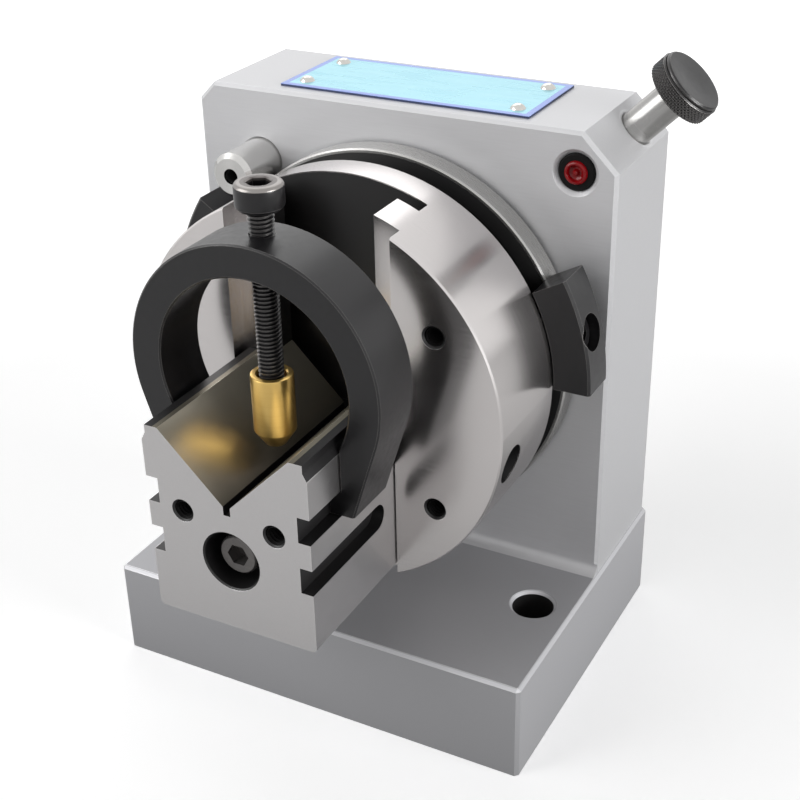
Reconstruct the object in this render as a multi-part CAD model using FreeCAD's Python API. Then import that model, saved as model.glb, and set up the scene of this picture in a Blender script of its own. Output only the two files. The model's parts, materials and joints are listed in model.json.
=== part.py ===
"""Punch former: an upright housing whose indexed spindle carries a V-block and a clamp ring.

All lengths are in millimetres. X runs to the right, Y runs from the front of the upright
to its back, Z runs up. The origin lies on the underside of the base, below the spindle,
in the plane of the upright's front face.
"""
import math
import os

import FreeCAD, Part

# Housing
base_w = 120.0
base_h = 27.5
base_front = 54.0
upright_t = 37.3
housing_h = 150.0
left_corner = 4.8
right_corner = 9.2
edge_break = 0.9
upright_w = base_w - 2 * edge_break
root_fillet = 3.0
spindle_z = 90.0
base_bolt_x = 49.0
base_bolt_y = -20.0
base_bolt_r = 3.5
base_head_r = 5.5
base_head_depth = 13.0
base_mouth_r = 6.3

# Clearances
press_gap = 0.02
run_gap = 0.05
slide_gap = 0.1
screw_gap = 0.2
free_gap = 0.3

# Small shapes shared by many pieces
fine_rim = 0.4
drill_point = 1.4
pick_near = 0.01

# Faceplate on the spindle nose
face_r = 50.5
face_front = -45.0
slot_floor = -24.0
disc_back = -15.0
groove_back = -7.5
flange_back = -1.0
flange_r = 51.0
groove_floor_r = 41.0
groove_lip_r = 46.0
groove_undercut = 2.0
mouth_half = 22.3
mouth_depth = 5.0
neck_half = 15.7
neck_depth = 11.5
undercut_half = 21.3
face_hole_x = 33.0
face_hole_z = 23.0
face_hole_r = 2.5
face_hole_mouth_r = 3.0
face_hole_depth = 14.0
side_hole_angle = -11.5
side_hole_y = -37.5
side_hole_r = 5.0
side_hole_depth = 8.0
side_screw_r = 4.0
side_screw_len = 16.0
side_screw_key = 4.0
side_screw_key_depth = 5.0
side_nose_r = 2.2
side_wall = 1.2
spigot_r = 18.0
spigot_len = 3.0
flange_screw_circle = 31.0
flange_screws = 6
flange_screw_r = 2.5
flange_screw_len = 15.0
flange_head_r = 4.8
flange_screw_key = 3.0
flange_screw_key_depth = 1.6

# Spindle, bushes and index ring inside the upright
journal_r = 15.0
bush_wall = 4.0
bush_flange_r = 23.0
thrust_recess = 1.0
front_wall = 15.0
cavity_r = 36.0
seat_r = 13.0
ring_mid = 23.0
index_w = 11.0
index_r = 32.0
index_rim = 1.0
index_count = 24
notch_root = 28.0
notch_end_half = 1.0
notch_slope = math.tan(math.radians(25.0))
key_half = 2.5
key_sink = 2.5
key_rise = 2.0
key_end = 1.5
nut_w = 4.5
nut_r = 19.0
nut_rim = 0.8
nut_slots = 4
nut_slot_half = 2.0
nut_slot_depth = 2.5
tail_r = 11.0
rear_bush_wall = 3.0
cover_r = 44.0
cover_t = 6.0
cover_rim = 1.0
cover_spigot = 3.0
cover_screw_circle = 40.0
cover_screws = 6
cover_screw_r = 2.0
cover_screw_len = 11.0
cover_screw_sink = 4.2
cover_head_r = 3.5
cover_head_h = 4.0
cover_screw_key = 3.0
mark_half = 0.4

# Hand dial with its grip, behind the upright
dial_seat_r = 9.0
dial_r = 38.0
dial_w = 12.0
dial_gap = 1.0
dial_slope = 4.0
dial_slope_w = 3.0
dial_edge = 1.0
dial_rim_w = 5.0
dial_hub_r = 16.0
dial_recess = 3.0
dial_end_gap = 0.5
dial_grub_r = 2.0
dial_grub_len = 9.0
dial_grub_point = 1.2
dial_grub_key = 2.0
dial_grub_key_depth = 2.0
washer_r = 14.0
washer_t = 3.0
dial_screw_len = 16.0
cap_head_r = 5.0
cap_head_h = 6.0
grip_circle = 24.5
grip_angle = 225.0
grip_len = 34.0
grip_r = 8.0
grip_foot_r = 6.0
grip_end_r = 6.8
grip_mouth_r = 6.6
grip_belly = 0.62
grip_pin_r = 4.0
grip_thread_r = 3.0
grip_thread_len = 7.0
grip_flange_r = 6.0
grip_flange_t = 1.6
grip_head_r = 5.6
grip_head_t = 2.0
grip_slot_r = 2.0
grip_slot_depth = 1.5

# Index plunger, square to the right-hand corner
plunger_angle = 45.0
plunger_r = 4.5
plunger_bore_r = 5.5
plunger_tip_r = 4.0
plunger_stem_r = 3.0
plunger_collar_r = 5.3
plunger_collar_w = 2.5
plunger_tip_gap = 0.6
plunger_wall = 6.0
plunger_shoulder = 2.0
plunger_reach = 13.7
spring_room = 18.0
spring_wire_r = 0.45
spring_coils = 6
spring_gap = 0.25
sleeve_rim = 0.4
knob_r = 9.0
knob_cap_r = 8.5
knob_len = 5.8
knob_bevel = 0.4
knob_cap_len = 0.7
knob_groove_w = 0.4
knob_groove_depth = 0.3
knob_spigot_r = 3.0
knob_dish_r = 3.6
knob_dish_rim = 1.3
knob_dish_depth = 0.5
knob_face = 1.5

# Stop pin and dogs
stop_circle = 57.3
stop_angle = 135.0
stop_r = 6.0
stop_rim = 1.2
stop_out = 14.8
stop_len = 32.0
stop_stroke = 15.0
stop_bore_spare = 1.0
stop_vent_r = 2.5
stop_tap_r = 2.1
stop_tap_depth = 10.0
grub_r = 2.5
grub_point = 1.0
grub_sink = 1.0
grub_key = 2.5
grub_key_depth = 2.5
dog_front = -16.0
dog_back = -4.5
dog_rise = 9.5
dog_outer_r = flange_r + dog_rise
dog_span = 28.7
dog_rim = 0.6
dog_tongue_len = 12.0
dog_nut_len = 14.0
right_dog_start = 0.0
left_dog_gap = 5.0
dog_screw_r = 2.5
dog_seat_wall = 1.9
dog_head_r = 4.25
dog_head_h = 5.0
dog_screw_key = 4.0

# V-block; its heights are measured down from its top
block_half = 22.0
block_front = -84.0
block_rise = 7.0
block_top = spindle_z + block_rise
block_h = 50.0
block_bottom = block_top - block_h
vee_depth = 17.4
vee_apex = block_top - vee_depth
vee_relief_half = 0.95
vee_relief_depth = 1.3
rail_depth = 3.2
rail_low_down = 34.0
rail_low_w = 6.8
rail_low_len = 33.5
rail_high_down = 20.4
rail_high_w = 6.7
corner_cut = ((1.1, 0.0), (1.1, 2.0), (0.0, 4.0))
block_hole_x = 12.4
block_hole_down = 20.7
block_hole_r = 2.5
block_hole_mouth_r = 3.0
block_hole_depth = 16.0
lock_down = 31.2
lock_z = block_top - lock_down
lock_bore_r = 7.5
lock_bore_depth = 9.0
lock_plate_half = 13.0
lock_plate_corner = 2.0
lock_screw_spare = 0.4

# Clamp ring with its screw and tip
ring_up = 9.0
ring_z = block_top + ring_up
ring_outer = 33.0
ring_inner = 25.0
ring_front = -70.5
ring_back = -55.0
leg_slope = 18.0
foot_x = 25.4
screw_y = -62.0
m6_r = 3.0
m6_head_r = 5.6
m6_head_h = 6.2
m6_socket = 5.0
m6_socket_depth = 4.0
clamp_screw_len = 40.0
tip_gap = 6.8
tip_len = 18.3
tip_bottom = vee_apex + tip_gap
tip_top = tip_bottom + tip_len
tip_r = 5.1
tip_end_r = 2.6
tip_cone = 3.8
tip_mouth_r = 3.45
tip_mouth_depth = 3.6
tip_floor = 5.5
nose_r = 2.5
nose_up = 6.0
snap_up = 4.0
snap_w = 0.9
snap_nose_depth = 0.5
snap_tip_depth = 0.4

# Name plate and oil point
plate_x = -0.8
plate_y = 18.9
plate_l = 70.2
plate_w = 29.0
plate_t = 0.6
rivet_dx = 30.0
rivet_dy = 9.5
rivet_r = 2.0
rivet_rise = 1.3
rivet_stem_r = 0.9
rivet_stem_len = 5.0
oil_x = 48.4
oil_down = 10.2
oil_z = housing_h - oil_down
oil_bore_r = 4.7
oil_mouth_r = 5.9
oil_depth = 7.0
oil_passage_r = 1.5
oil_channel_r = 1.2
oil_plug_r = 3.0
oil_plug_rise = 0.5
oil_plug_len = 6.0

spindle_axis = FreeCAD.Vector(0, 0, spindle_z)
inward = FreeCAD.Vector(0, 1, 0)
outward = FreeCAD.Vector(0, -1, 0)


def box(x0, x1, y0, y1, z0, z1):
    """A block between pairs of coordinates."""
    corner = FreeCAD.Vector(x0, y0, z0)
    return Part.makeBox(x1 - x0, y1 - y0, z1 - z0, corner)


def placed(solid, start, direction):
    """Moves a solid made along +Z so that it starts at a point and follows a direction."""
    turn = FreeCAD.Rotation(FreeCAD.Vector(0, 0, 1), FreeCAD.Vector(direction))
    solid.Placement = FreeCAD.Placement(FreeCAD.Vector(start), turn)
    return solid


def rod(start, direction, radius, length):
    """A round bar from a point along a direction."""
    return placed(Part.makeCylinder(radius, length), start, direction)


def turned(outline, start, direction):
    """A turned piece; the outline lists (radius, distance along the axis)."""
    corners = [FreeCAD.Vector(r, 0, h) for r, h in outline]
    face = Part.Face(Part.makePolygon(corners + corners[:1]))
    solid = face.revolve(FreeCAD.Vector(0, 0, 0), FreeCAD.Vector(0, 0, 1), 360)
    return placed(solid, start, direction)


def on_spindle(outline):
    """A turned piece about the spindle; the outline lists (radius, y)."""
    return turned(outline, spindle_axis, inward)


def profile_along_y(outline, y0, y1):
    """An (x, z) outline drawn out from y0 to y1."""
    corners = [FreeCAD.Vector(x, y0, z) for x, z in outline]
    face = Part.Face(Part.makePolygon(corners + corners[:1]))
    return face.extrude(FreeCAD.Vector(0, y1 - y0, 0))


def profile_along_z(outline, z0, z1):
    """An (x, y) outline drawn out from z0 to z1."""
    corners = [FreeCAD.Vector(x, y, z0) for x, y in outline]
    face = Part.Face(Part.makePolygon(corners + corners[:1]))
    return face.extrude(FreeCAD.Vector(0, 0, z1 - z0))


def mirrored(points):
    """Closes a right-hand outline with its mirror image, walked back."""
    return list(points) + [(-x, z) for x, z in reversed(points)]


def radial(angle):
    """The unit vector at an angle round the spindle, seen from the front."""
    a = math.radians(angle)
    return FreeCAD.Vector(math.cos(a), 0, math.sin(a))


def at_radius(angle, radius, y):
    """A point at a radius and an angle round the spindle."""
    return spindle_axis + radial(angle) * radius + FreeCAD.Vector(0, y, 0)


def hexagon(across, length):
    """A hexagonal bar along +Z, as cut by a hexagon key."""
    r = across / math.sqrt(3.0)
    points = []
    for i in range(6):
        a = math.radians(60 * i)
        points.append((r * math.cos(a), r * math.sin(a)))
    return profile_along_z(points, 0, length)


def cap_screw(head_r, head_h, shank_r, length, socket):
    """A socket-head screw along +Z: the shank ends at zero, the head sits on top."""
    rim = fine_rim
    outline = [(0, 0), (shank_r - rim, 0), (shank_r, rim), (shank_r, length),
               (head_r, length), (head_r, length + head_h - rim),
               (head_r - rim, length + head_h), (0, length + head_h)]
    screw = turned(outline, (0, 0, 0), (0, 0, 1))
    depth = head_h * 0.6
    key = hexagon(socket, depth)
    key.translate(FreeCAD.Vector(0, 0, length + head_h - depth))
    return screw.cut(key)


def arc_block(start_angle, span, r0, r1, y0, y1):
    """A piece of a ring round the spindle between two angles."""
    a0 = start_angle
    a1 = start_angle + span / 2
    a2 = start_angle + span
    outer = Part.Arc(at_radius(a0, r1, y0), at_radius(a1, r1, y0), at_radius(a2, r1, y0))
    inner = Part.Arc(at_radius(a2, r0, y0), at_radius(a1, r0, y0), at_radius(a0, r0, y0))
    edges = [outer.toShape(),
             Part.makeLine(at_radius(a2, r1, y0), at_radius(a2, r0, y0)),
             inner.toShape(),
             Part.makeLine(at_radius(a0, r0, y0), at_radius(a0, r1, y0))]
    return Part.Face(Part.Wire(edges)).extrude(FreeCAD.Vector(0, y1 - y0, 0))


def make_base():
    """The flat foot with broken top edges."""
    foot = box(-base_w / 2, base_w / 2, -base_front, upright_t, 0, base_h)
    edges = []
    for edge in foot.Edges:
        middle = edge.BoundBox.Center
        is_top = abs(middle.z - base_h) < pick_near and middle.y < upright_t - pick_near
        is_corner = abs(middle.z - base_h / 2) < pick_near and middle.y < 0
        if is_top or is_corner:
            edges.append(edge)
    return foot.makeChamfer(edge_break, edges)


def make_upright():
    """The upright plate with its two cut corners and broken edges."""
    half = upright_w / 2
    outline = [(-half, base_h / 2), (half, base_h / 2), (half, housing_h - right_corner),
               (half - right_corner, housing_h), (-half + left_corner, housing_h),
               (-half, housing_h - left_corner)]
    plate = profile_along_y(outline, 0, upright_t)
    edges = []
    for edge in plate.Edges:
        middle = edge.BoundBox.Center
        on_face = abs(middle.y) < pick_near or abs(middle.y - upright_t) < pick_near
        if on_face and middle.z > base_h:
            edges.append(edge)
    return plate.makeChamfer(edge_break, edges)


def make_root_fillet():
    """The rounded inner corner between the foot and the upright."""
    r = root_fillet
    x = -upright_w / 2
    corner = FreeCAD.Vector(x, 0, base_h)
    front = FreeCAD.Vector(x, -r, base_h)
    top = FreeCAD.Vector(x, 0, base_h + r)
    swing = r * (1 - math.sqrt(0.5))
    middle = FreeCAD.Vector(x, -swing, base_h + swing)
    wire = Part.Wire([Part.makeLine(corner, front), Part.Arc(front, middle, top).toShape(),
                      Part.makeLine(top, corner)])
    return Part.Face(wire).extrude(FreeCAD.Vector(upright_w, 0, 0))


def plunger_axis():
    """The direction and the start of the index plunger's axis at the spindle."""
    return radial(plunger_angle), spindle_axis + FreeCAD.Vector(0, ring_mid, 0)


def corner_distance():
    """How far the right-hand corner face lies from the spindle along the plunger."""
    reach = upright_w / 2 + housing_h - right_corner - spindle_z
    return reach / math.sqrt(2.0)


def plunger_guide_start():
    """Where the wide plunger bore ends, measured from the spindle."""
    return cavity_r + plunger_wall


def stop_point(y):
    """A point on the stop pin's axis."""
    return at_radius(stop_angle, stop_circle, y)


def bush_outer():
    """The outer radius of the front bush and of its seat."""
    return journal_r + run_gap + bush_wall


def base_bolt_hole(side):
    """A counterbored bolt hole down through the foot."""
    top = FreeCAD.Vector(side * base_bolt_x, base_bolt_y, base_h)
    rim = base_mouth_r - base_head_r
    outline = [(0, -base_h), (base_bolt_r, -base_h), (base_bolt_r, -base_head_depth),
               (base_head_r, -base_head_depth), (base_head_r, -rim),
               (base_mouth_r, 0), (0, 0)]
    return turned(outline, top, (0, 0, 1))


def plunger_bores():
    """The narrow bore at the cavity and the wide one from the corner face."""
    direction, centre = plunger_axis()
    narrow = rod(centre + direction * (cavity_r - 2), direction,
                 plunger_tip_r + run_gap, plunger_wall + 4)
    wide = rod(centre + direction * plunger_guide_start(), direction,
               plunger_bore_r, corner_distance())
    return [narrow, wide]


def stop_bores():
    """The blind bore of the stop pin, its vent and the side hole of its grub screw."""
    depth = stop_len - stop_out + stop_stroke + stop_bore_spare
    bore = stop_r + run_gap
    outline = [(0, 0), (bore + fine_rim, 0), (bore, fine_rim), (bore, depth),
               (stop_vent_r, depth), (stop_vent_r, upright_t), (0, upright_t)]
    pin_bore = turned(outline, stop_point(0), inward)
    side_face = FreeCAD.Vector(-upright_w / 2, stop_middle(), stop_point(0).z)
    grub_hole = rod(side_face, (1, 0, 0), grub_r, upright_w / 2 + stop_point(0).x)
    return [pin_bore, grub_hole]


def stop_middle():
    """Where the grub screw meets the stop pin: halfway along its held length."""
    return (stop_len - stop_out) / 2


def oil_bores():
    """The oil point's bore and the slanting channel down to the front bush."""
    point = FreeCAD.Vector(oil_x, 0, oil_z)
    rim = oil_mouth_r - oil_bore_r
    outline = [(0, 0), (oil_mouth_r, 0), (oil_bore_r, rim), (oil_bore_r, oil_depth),
               (oil_passage_r, oil_depth), (0, oil_depth)]
    start = point + FreeCAD.Vector(0, oil_depth - oil_channel_r, 0)
    end = at_radius(plunger_angle, bush_outer() - 1, front_wall - 2 * oil_channel_r)
    channel = end - start
    return [turned(outline, point, inward),
            rod(start, channel, oil_channel_r, channel.Length)]


def cover_screw_mouth(i, y):
    """A point on the axis of one cover screw."""
    return at_radius(i * 360 / cover_screws, cover_screw_circle, y)


def rivet_points():
    """The four rivet places of the plate."""
    points = []
    for dx in (-rivet_dx, rivet_dx):
        for dy in (-rivet_dy, rivet_dy):
            points.append(FreeCAD.Vector(plate_x + dx, plate_y + dy, housing_h))
    return points


def make_housing():
    """The foot and the upright with every bore."""
    body = make_base().fuse([make_upright(), make_root_fillet()]).removeSplitter()
    cuts = [rod(spindle_axis, inward, bush_outer(), front_wall),
            rod(at_radius(0, 0, front_wall), inward, cavity_r, upright_t),
            rod(spindle_axis, inward, bush_flange_r, thrust_recess),
            base_bolt_hole(-1), base_bolt_hole(1)]
    cuts += plunger_bores() + stop_bores() + oil_bores()
    for i in range(cover_screws):
        cuts.append(rod(cover_screw_mouth(i, upright_t), outward, cover_screw_r,
                        cover_screw_len))
    for point in rivet_points():
        cuts.append(rod(point, (0, 0, -1), rivet_stem_r, rivet_stem_len))
    return body.cut(cuts)


def make_front_bush():
    """The bronze bush with a thrust flange that carries the spindle nose."""
    bore = journal_r + run_gap
    front = flange_back + run_gap
    outline = [(bore, front), (bush_flange_r - fine_rim, front),
               (bush_flange_r, front + fine_rim), (bush_flange_r, thrust_recess),
               (bush_outer(), thrust_recess), (bush_outer(), front_wall), (bore, front_wall)]
    return on_spindle(outline)


def index_front():
    """The front of the index ring, where the spindle's shoulder is."""
    return ring_mid - index_w / 2


def index_back():
    """The back of the index ring, where the lock nut bears."""
    return ring_mid + index_w / 2


def cover_back():
    """The back of the rear cover."""
    return upright_t + cover_t


def dial_front():
    """The front of the hand dial."""
    return cover_back() + dial_gap


def dial_back():
    """The back of the hand dial, where the washer bears."""
    return dial_front() + dial_w


def make_spindle():
    """The spindle with its flange, its journals and the seats behind them."""
    rim = fine_rim
    nut_back = index_back() + nut_w
    spigot_end = groove_back - spigot_len
    end = dial_back() - dial_end_gap
    outline = [(0, spigot_end), (spigot_r, spigot_end), (spigot_r, groove_back),
               (groove_floor_r, groove_back), (groove_floor_r, groove_back + groove_undercut),
               (groove_lip_r, groove_back + groove_undercut), (groove_lip_r, groove_back),
               (flange_r - rim, groove_back), (flange_r, groove_back + rim),
               (flange_r, flange_back - rim), (flange_r - rim, flange_back),
               (journal_r, flange_back), (journal_r, index_front()),
               (seat_r, index_front()), (seat_r, nut_back), (tail_r, nut_back),
               (tail_r, dial_front()), (dial_seat_r, dial_front()),
               (dial_seat_r, end), (0, end)]
    body = on_spindle(outline)
    dimple = at_radius(180, dial_seat_r + 1, dial_grub_y())
    cuts = [rod(at_radius(0, 0, dial_back()), outward, m6_r, dial_screw_len),
            key_block(index_front() + key_end, index_back() - key_end),
            rod(dimple, radial(0), dial_grub_r, 1 + dial_grub_point)]
    for i in range(flange_screws):
        cuts.append(flange_screw_hole(i))
    return body.cut(cuts)


def dial_grub_y():
    """Where the dial's set screw meets the spindle."""
    return (dial_front() + dial_back()) / 2


def key_block(y0, y1):
    """The parallel key on top of the spindle, half in the shaft."""
    middle = spindle_z + seat_r
    return box(-key_half, key_half, y0, y1, middle - key_sink, middle + key_rise)


def flange_screw_point(i):
    """The mouth of one flange screw on the back of the flange."""
    return at_radius((i + 0.5) * 360 / flange_screws, flange_screw_circle, flange_back)


def flange_screw_hole(i):
    """The countersunk hole of one flange screw."""
    mouth = flange_head_r + screw_gap
    end = flange_screw_len + 1
    outline = [(0, 0), (mouth, 0), (flange_screw_r, mouth - flange_screw_r),
               (flange_screw_r, end), (0, end)]
    return turned(outline, flange_screw_point(i), outward)


def make_flange_screws():
    """Countersunk screws that hold the faceplate on the spindle flange."""
    screws = []
    cone_end = slide_gap + flange_head_r - flange_screw_r
    outline = [(0, slide_gap), (flange_head_r, slide_gap), (flange_screw_r, cone_end),
               (flange_screw_r, flange_screw_len), (0, flange_screw_len)]
    for i in range(flange_screws):
        head = flange_screw_point(i)
        screw = turned(outline, head, outward)
        key = placed(hexagon(flange_screw_key, flange_screw_key_depth), head, outward)
        screws.append(screw.cut(key))
    return Part.makeCompound(screws)


def drilled(start, direction, mouth_r, radius, depth):
    """A blind drilled hole with a broken mouth."""
    rim = mouth_r - radius
    outline = [(0, 0), (mouth_r, 0), (radius, rim), (radius, depth), (0, depth + drill_point)]
    return turned(outline, start, direction)


def make_faceplate():
    """The round head with the T-shaped slot across it and the groove for the dogs."""
    rim = fine_rim
    bore = spigot_r + run_gap
    bore_end = groove_back - spigot_len - free_gap
    neck_back = disc_back - groove_undercut
    outline = [(0, face_front), (face_r - rim, face_front), (face_r, face_front + rim),
               (face_r, disc_back - rim), (face_r - rim, disc_back),
               (groove_lip_r, disc_back), (groove_lip_r, neck_back),
               (groove_floor_r, neck_back), (groove_floor_r, groove_back),
               (bore, groove_back), (bore, bore_end), (0, bore_end)]
    head = on_spindle(outline)
    y1 = face_front + mouth_depth
    y2 = y1 + neck_depth
    slot = [(mouth_half, face_front - 1), (mouth_half, y1), (neck_half, y1),
            (neck_half, y2), (undercut_half, y2), (undercut_half, slot_floor)]
    reach = face_r + 1
    cuts = [profile_along_z(mirrored(slot), spindle_z - reach, spindle_z + reach)]
    for x in (-face_hole_x, face_hole_x):
        for z in (-face_hole_z, face_hole_z):
            mouth = FreeCAD.Vector(x, face_front, spindle_z + z)
            cuts.append(drilled(mouth, inward, face_hole_mouth_r, face_hole_r,
                                face_hole_depth))
    start = at_radius(side_hole_angle, reach, side_hole_y)
    way_in = radial(side_hole_angle + 180)
    cuts.append(rod(start, way_in, side_hole_r, 1 + side_hole_depth))
    cuts.append(rod(start, way_in, side_screw_r, reach - side_shoulder()))
    cuts.append(rod(start, way_in, side_nose_r + free_gap, reach - neck_half))
    for i in range(flange_screws):
        cuts.append(flange_screw_hole(i))
    return head.cut(cuts)


def side_shoulder():
    """How far from the spindle the thick part of the side hole ends."""
    return (mouth_half + side_wall) / math.cos(math.radians(side_hole_angle))


def make_side_set_screw():
    """The set screw in the rim whose nose bears on the block's tongue."""
    way_out = radial(side_hole_angle)
    lean = math.radians(abs(side_hole_angle))
    nose = (neck_half + free_gap + side_nose_r * math.sin(lean)) / math.cos(lean)
    shoulder = side_shoulder() + free_gap
    top = shoulder + side_screw_len
    rim = fine_rim
    outline = [(0, nose), (side_nose_r - rim, nose), (side_nose_r, nose + rim),
               (side_nose_r, shoulder), (side_screw_r, shoulder), (side_screw_r, top),
               (0, top)]
    screw = turned(outline, at_radius(0, 0, side_hole_y), way_out)
    socket_start = at_radius(side_hole_angle, top - side_screw_key_depth, side_hole_y)
    key = placed(hexagon(side_screw_key, side_screw_key_depth), socket_start, way_out)
    return screw.cut(key)


def make_index_ring():
    """The ring with twenty-four notches, fifteen degrees apart."""
    y0 = index_front()
    y1 = index_back()
    rim = index_rim
    bore = seat_r + press_gap
    outline = [(bore, y0), (index_r - rim, y0), (index_r, y0 + rim),
               (index_r, y1 - rim), (index_r - rim, y1), (bore, y1)]
    ring = on_spindle(outline)
    mouth = index_r + 1
    half = notch_end_half + (mouth - notch_root) * notch_slope
    notch = [(-notch_end_half, spindle_z + notch_root), (notch_end_half, spindle_z + notch_root),
             (half, spindle_z + mouth), (-half, spindle_z + mouth)]
    cuts = [key_block(y0, y1)]
    for i in range(index_count):
        cut = profile_along_y(notch, y0 - 1, y1 + 1)
        turn = plunger_angle - 90 + i * 360.0 / index_count
        cut.rotate(spindle_axis, outward, turn)
        cuts.append(cut)
    return ring.cut(cuts)


def make_index_key():
    """The key that locks the index ring on the spindle."""
    return key_block(index_front() + key_end, index_back() - key_end)


def make_lock_nut():
    """The slotted round nut behind the index ring."""
    y0 = index_back()
    y1 = y0 + nut_w
    bore = seat_r + press_gap
    outline = [(bore, y0), (nut_r, y0), (nut_r, y1 - nut_rim), (nut_r - nut_rim, y1),
               (bore, y1)]
    cuts = []
    for i in range(nut_slots):
        angle = i * 360 / nut_slots
        slot = box(-nut_slot_half, nut_slot_half, 0, nut_w + 2, 0, 2 * nut_slot_depth)
        start = at_radius(angle, nut_r - nut_slot_depth, y0 - 1)
        slot.Placement = FreeCAD.Placement(start, FreeCAD.Rotation(outward, angle - 90))
        cuts.append(slot)
    return on_spindle(outline).cut(cuts)


def make_rear_cover():
    """The round cover that closes the cavity and holds the rear bush."""
    bush_r = tail_r + run_gap + rear_bush_wall
    back = cover_back()
    inside = upright_t - cover_spigot
    fit_r = cavity_r - slide_gap
    outline = [(bush_r, inside), (fit_r, inside), (fit_r, upright_t), (cover_r, upright_t),
               (cover_r, back - cover_rim), (cover_r - cover_rim, back), (bush_r, back)]
    head_r = cover_head_r + screw_gap
    hole_r = cover_screw_r + screw_gap
    hole = [(0, 0), (head_r, 0), (head_r, cover_screw_sink), (hole_r, cover_screw_sink),
            (hole_r, cover_t + 1), (0, cover_t + 1)]
    cuts = []
    for i in range(cover_screws):
        cuts.append(turned(hole, cover_screw_mouth(i, back), outward))
    cuts.append(box(-mark_half, mark_half, back - mark_half, back + 1,
                    spindle_z + dial_r + mark_half, spindle_z + cover_r + 1))
    return on_spindle(outline).cut(cuts)


def make_rear_bush():
    """The bronze bush in the rear cover."""
    bore = tail_r + run_gap
    outer = bore + rear_bush_wall
    inside = upright_t - cover_spigot
    outline = [(bore, inside), (outer, inside), (outer, cover_back()), (bore, cover_back())]
    return on_spindle(outline)


def make_cover_screws():
    """The socket-head screws of the rear cover."""
    screws = []
    end_y = cover_back() - cover_screw_sink - cover_screw_len
    for i in range(cover_screws):
        screw = cap_screw(cover_head_r, cover_head_h, cover_screw_r, cover_screw_len,
                          cover_screw_key)
        screws.append(placed(screw, cover_screw_mouth(i, end_y), inward))
    return Part.makeCompound(screws)


def make_dial():
    """The graduated hand dial on the spindle tail."""
    front = dial_front()
    back = dial_back()
    floor = back - dial_recess
    bore = dial_seat_r + press_gap
    inner = dial_r - dial_rim_w
    outline = [(bore, front), (dial_r - dial_slope, front), (dial_r, front + dial_slope_w),
               (dial_r, back - dial_edge), (dial_r - dial_edge, back), (inner, back),
               (inner - 1, floor), (dial_hub_r + 1, floor), (dial_hub_r, back), (bore, back)]
    pin = at_radius(grip_angle, grip_circle, floor - grip_thread_len)
    start = at_radius(180, dial_r + 1, dial_grub_y())
    cuts = [rod(pin, inward, grip_thread_r, grip_thread_len + 1),
            rod(start, radial(0), dial_grub_r, dial_r)]
    return on_spindle(outline).cut(cuts)


def make_dial_set_screw():
    """The set screw that keys the dial to the spindle."""
    point = dial_grub_point
    outline = [(0, 0), (point, 0), (dial_grub_r, dial_grub_r - point),
               (dial_grub_r, dial_grub_len), (0, dial_grub_len)]
    start = at_radius(180, dial_seat_r - point, dial_grub_y())
    screw = turned(outline, start, radial(180))
    socket_start = start + radial(180) * (dial_grub_len - dial_grub_key_depth)
    key = placed(hexagon(dial_grub_key, dial_grub_key_depth), socket_start, radial(180))
    return screw.cut(key)


def make_dial_washer():
    """The thick washer on the end of the spindle."""
    bore = m6_r + screw_gap
    front = dial_back()
    back = front + washer_t
    outline = [(bore, front), (washer_r - 1, front), (washer_r, front + 1), (washer_r, back),
               (bore, back)]
    return on_spindle(outline)


def make_dial_screw():
    """The screw that draws the washer and the dial on to the spindle."""
    end = at_radius(0, 0, dial_back() + washer_t - dial_screw_len)
    screw = cap_screw(cap_head_r, cap_head_h, m6_r, dial_screw_len, m6_socket)
    return placed(screw, end, inward)


def grip_foot():
    """How far the grip's lower end stands from the inner end of its pin."""
    return grip_thread_len + grip_flange_t + free_gap


def grip_pin_start():
    """The inner end of the grip's pin, inside the dial."""
    return at_radius(grip_angle, grip_circle, dial_back() - dial_recess - grip_thread_len)


def make_grip_pin():
    """The shouldered pin on which the grip spins."""
    flange_end = grip_thread_len + grip_flange_t
    head = grip_foot() + grip_len + slide_gap
    end = head + grip_head_t
    outline = [(0, 0), (grip_thread_r, 0), (grip_thread_r, grip_thread_len),
               (grip_flange_r, grip_thread_len), (grip_flange_r, flange_end),
               (grip_pin_r, flange_end), (grip_pin_r, head), (grip_head_r, head),
               (grip_head_r, end), (0, end)]
    pin = turned(outline, grip_pin_start(), inward)
    slot_start = grip_pin_start() + inward * (end - grip_slot_depth)
    return pin.cut(rod(slot_start, inward, grip_slot_r, grip_slot_depth))


def make_grip():
    """The grip, a waisted barrel that turns freely on its pin."""
    bore = grip_pin_r + slide_gap
    foot = FreeCAD.Vector(grip_foot_r, 0, 0)
    belly = FreeCAD.Vector(grip_r, 0, grip_belly * grip_len)
    crown = FreeCAD.Vector(grip_end_r, 0, grip_len - 1)
    mouth = FreeCAD.Vector(grip_mouth_r, 0, grip_len)
    bore_top = FreeCAD.Vector(bore, 0, grip_len)
    bore_foot = FreeCAD.Vector(bore, 0, 0)
    wire = Part.Wire([Part.makeLine(bore_foot, foot),
                      Part.Arc(foot, belly, crown).toShape(),
                      Part.makeLine(crown, mouth),
                      Part.makeLine(mouth, bore_top),
                      Part.makeLine(bore_top, bore_foot)])
    solid = Part.Face(wire).revolve(FreeCAD.Vector(0, 0, 0), FreeCAD.Vector(0, 0, 1), 360)
    return placed(solid, grip_pin_start() + inward * grip_foot(), inward)


def make_plunger_sleeve():
    """The guide sleeve pressed into the mouth of the plunger bore."""
    direction, centre = plunger_axis()
    start = centre + direction * sleeve_start()
    bore = plunger_r + run_gap
    length = corner_distance() - sleeve_start()
    outline = [(bore, 0), (plunger_bore_r, 0), (plunger_bore_r, length),
               (bore + sleeve_rim, length), (bore, length - sleeve_rim)]
    return turned(outline, start, direction)


def sleeve_start():
    """Where the plunger sleeve begins, measured from the spindle."""
    return plunger_guide_start() + spring_room


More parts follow.
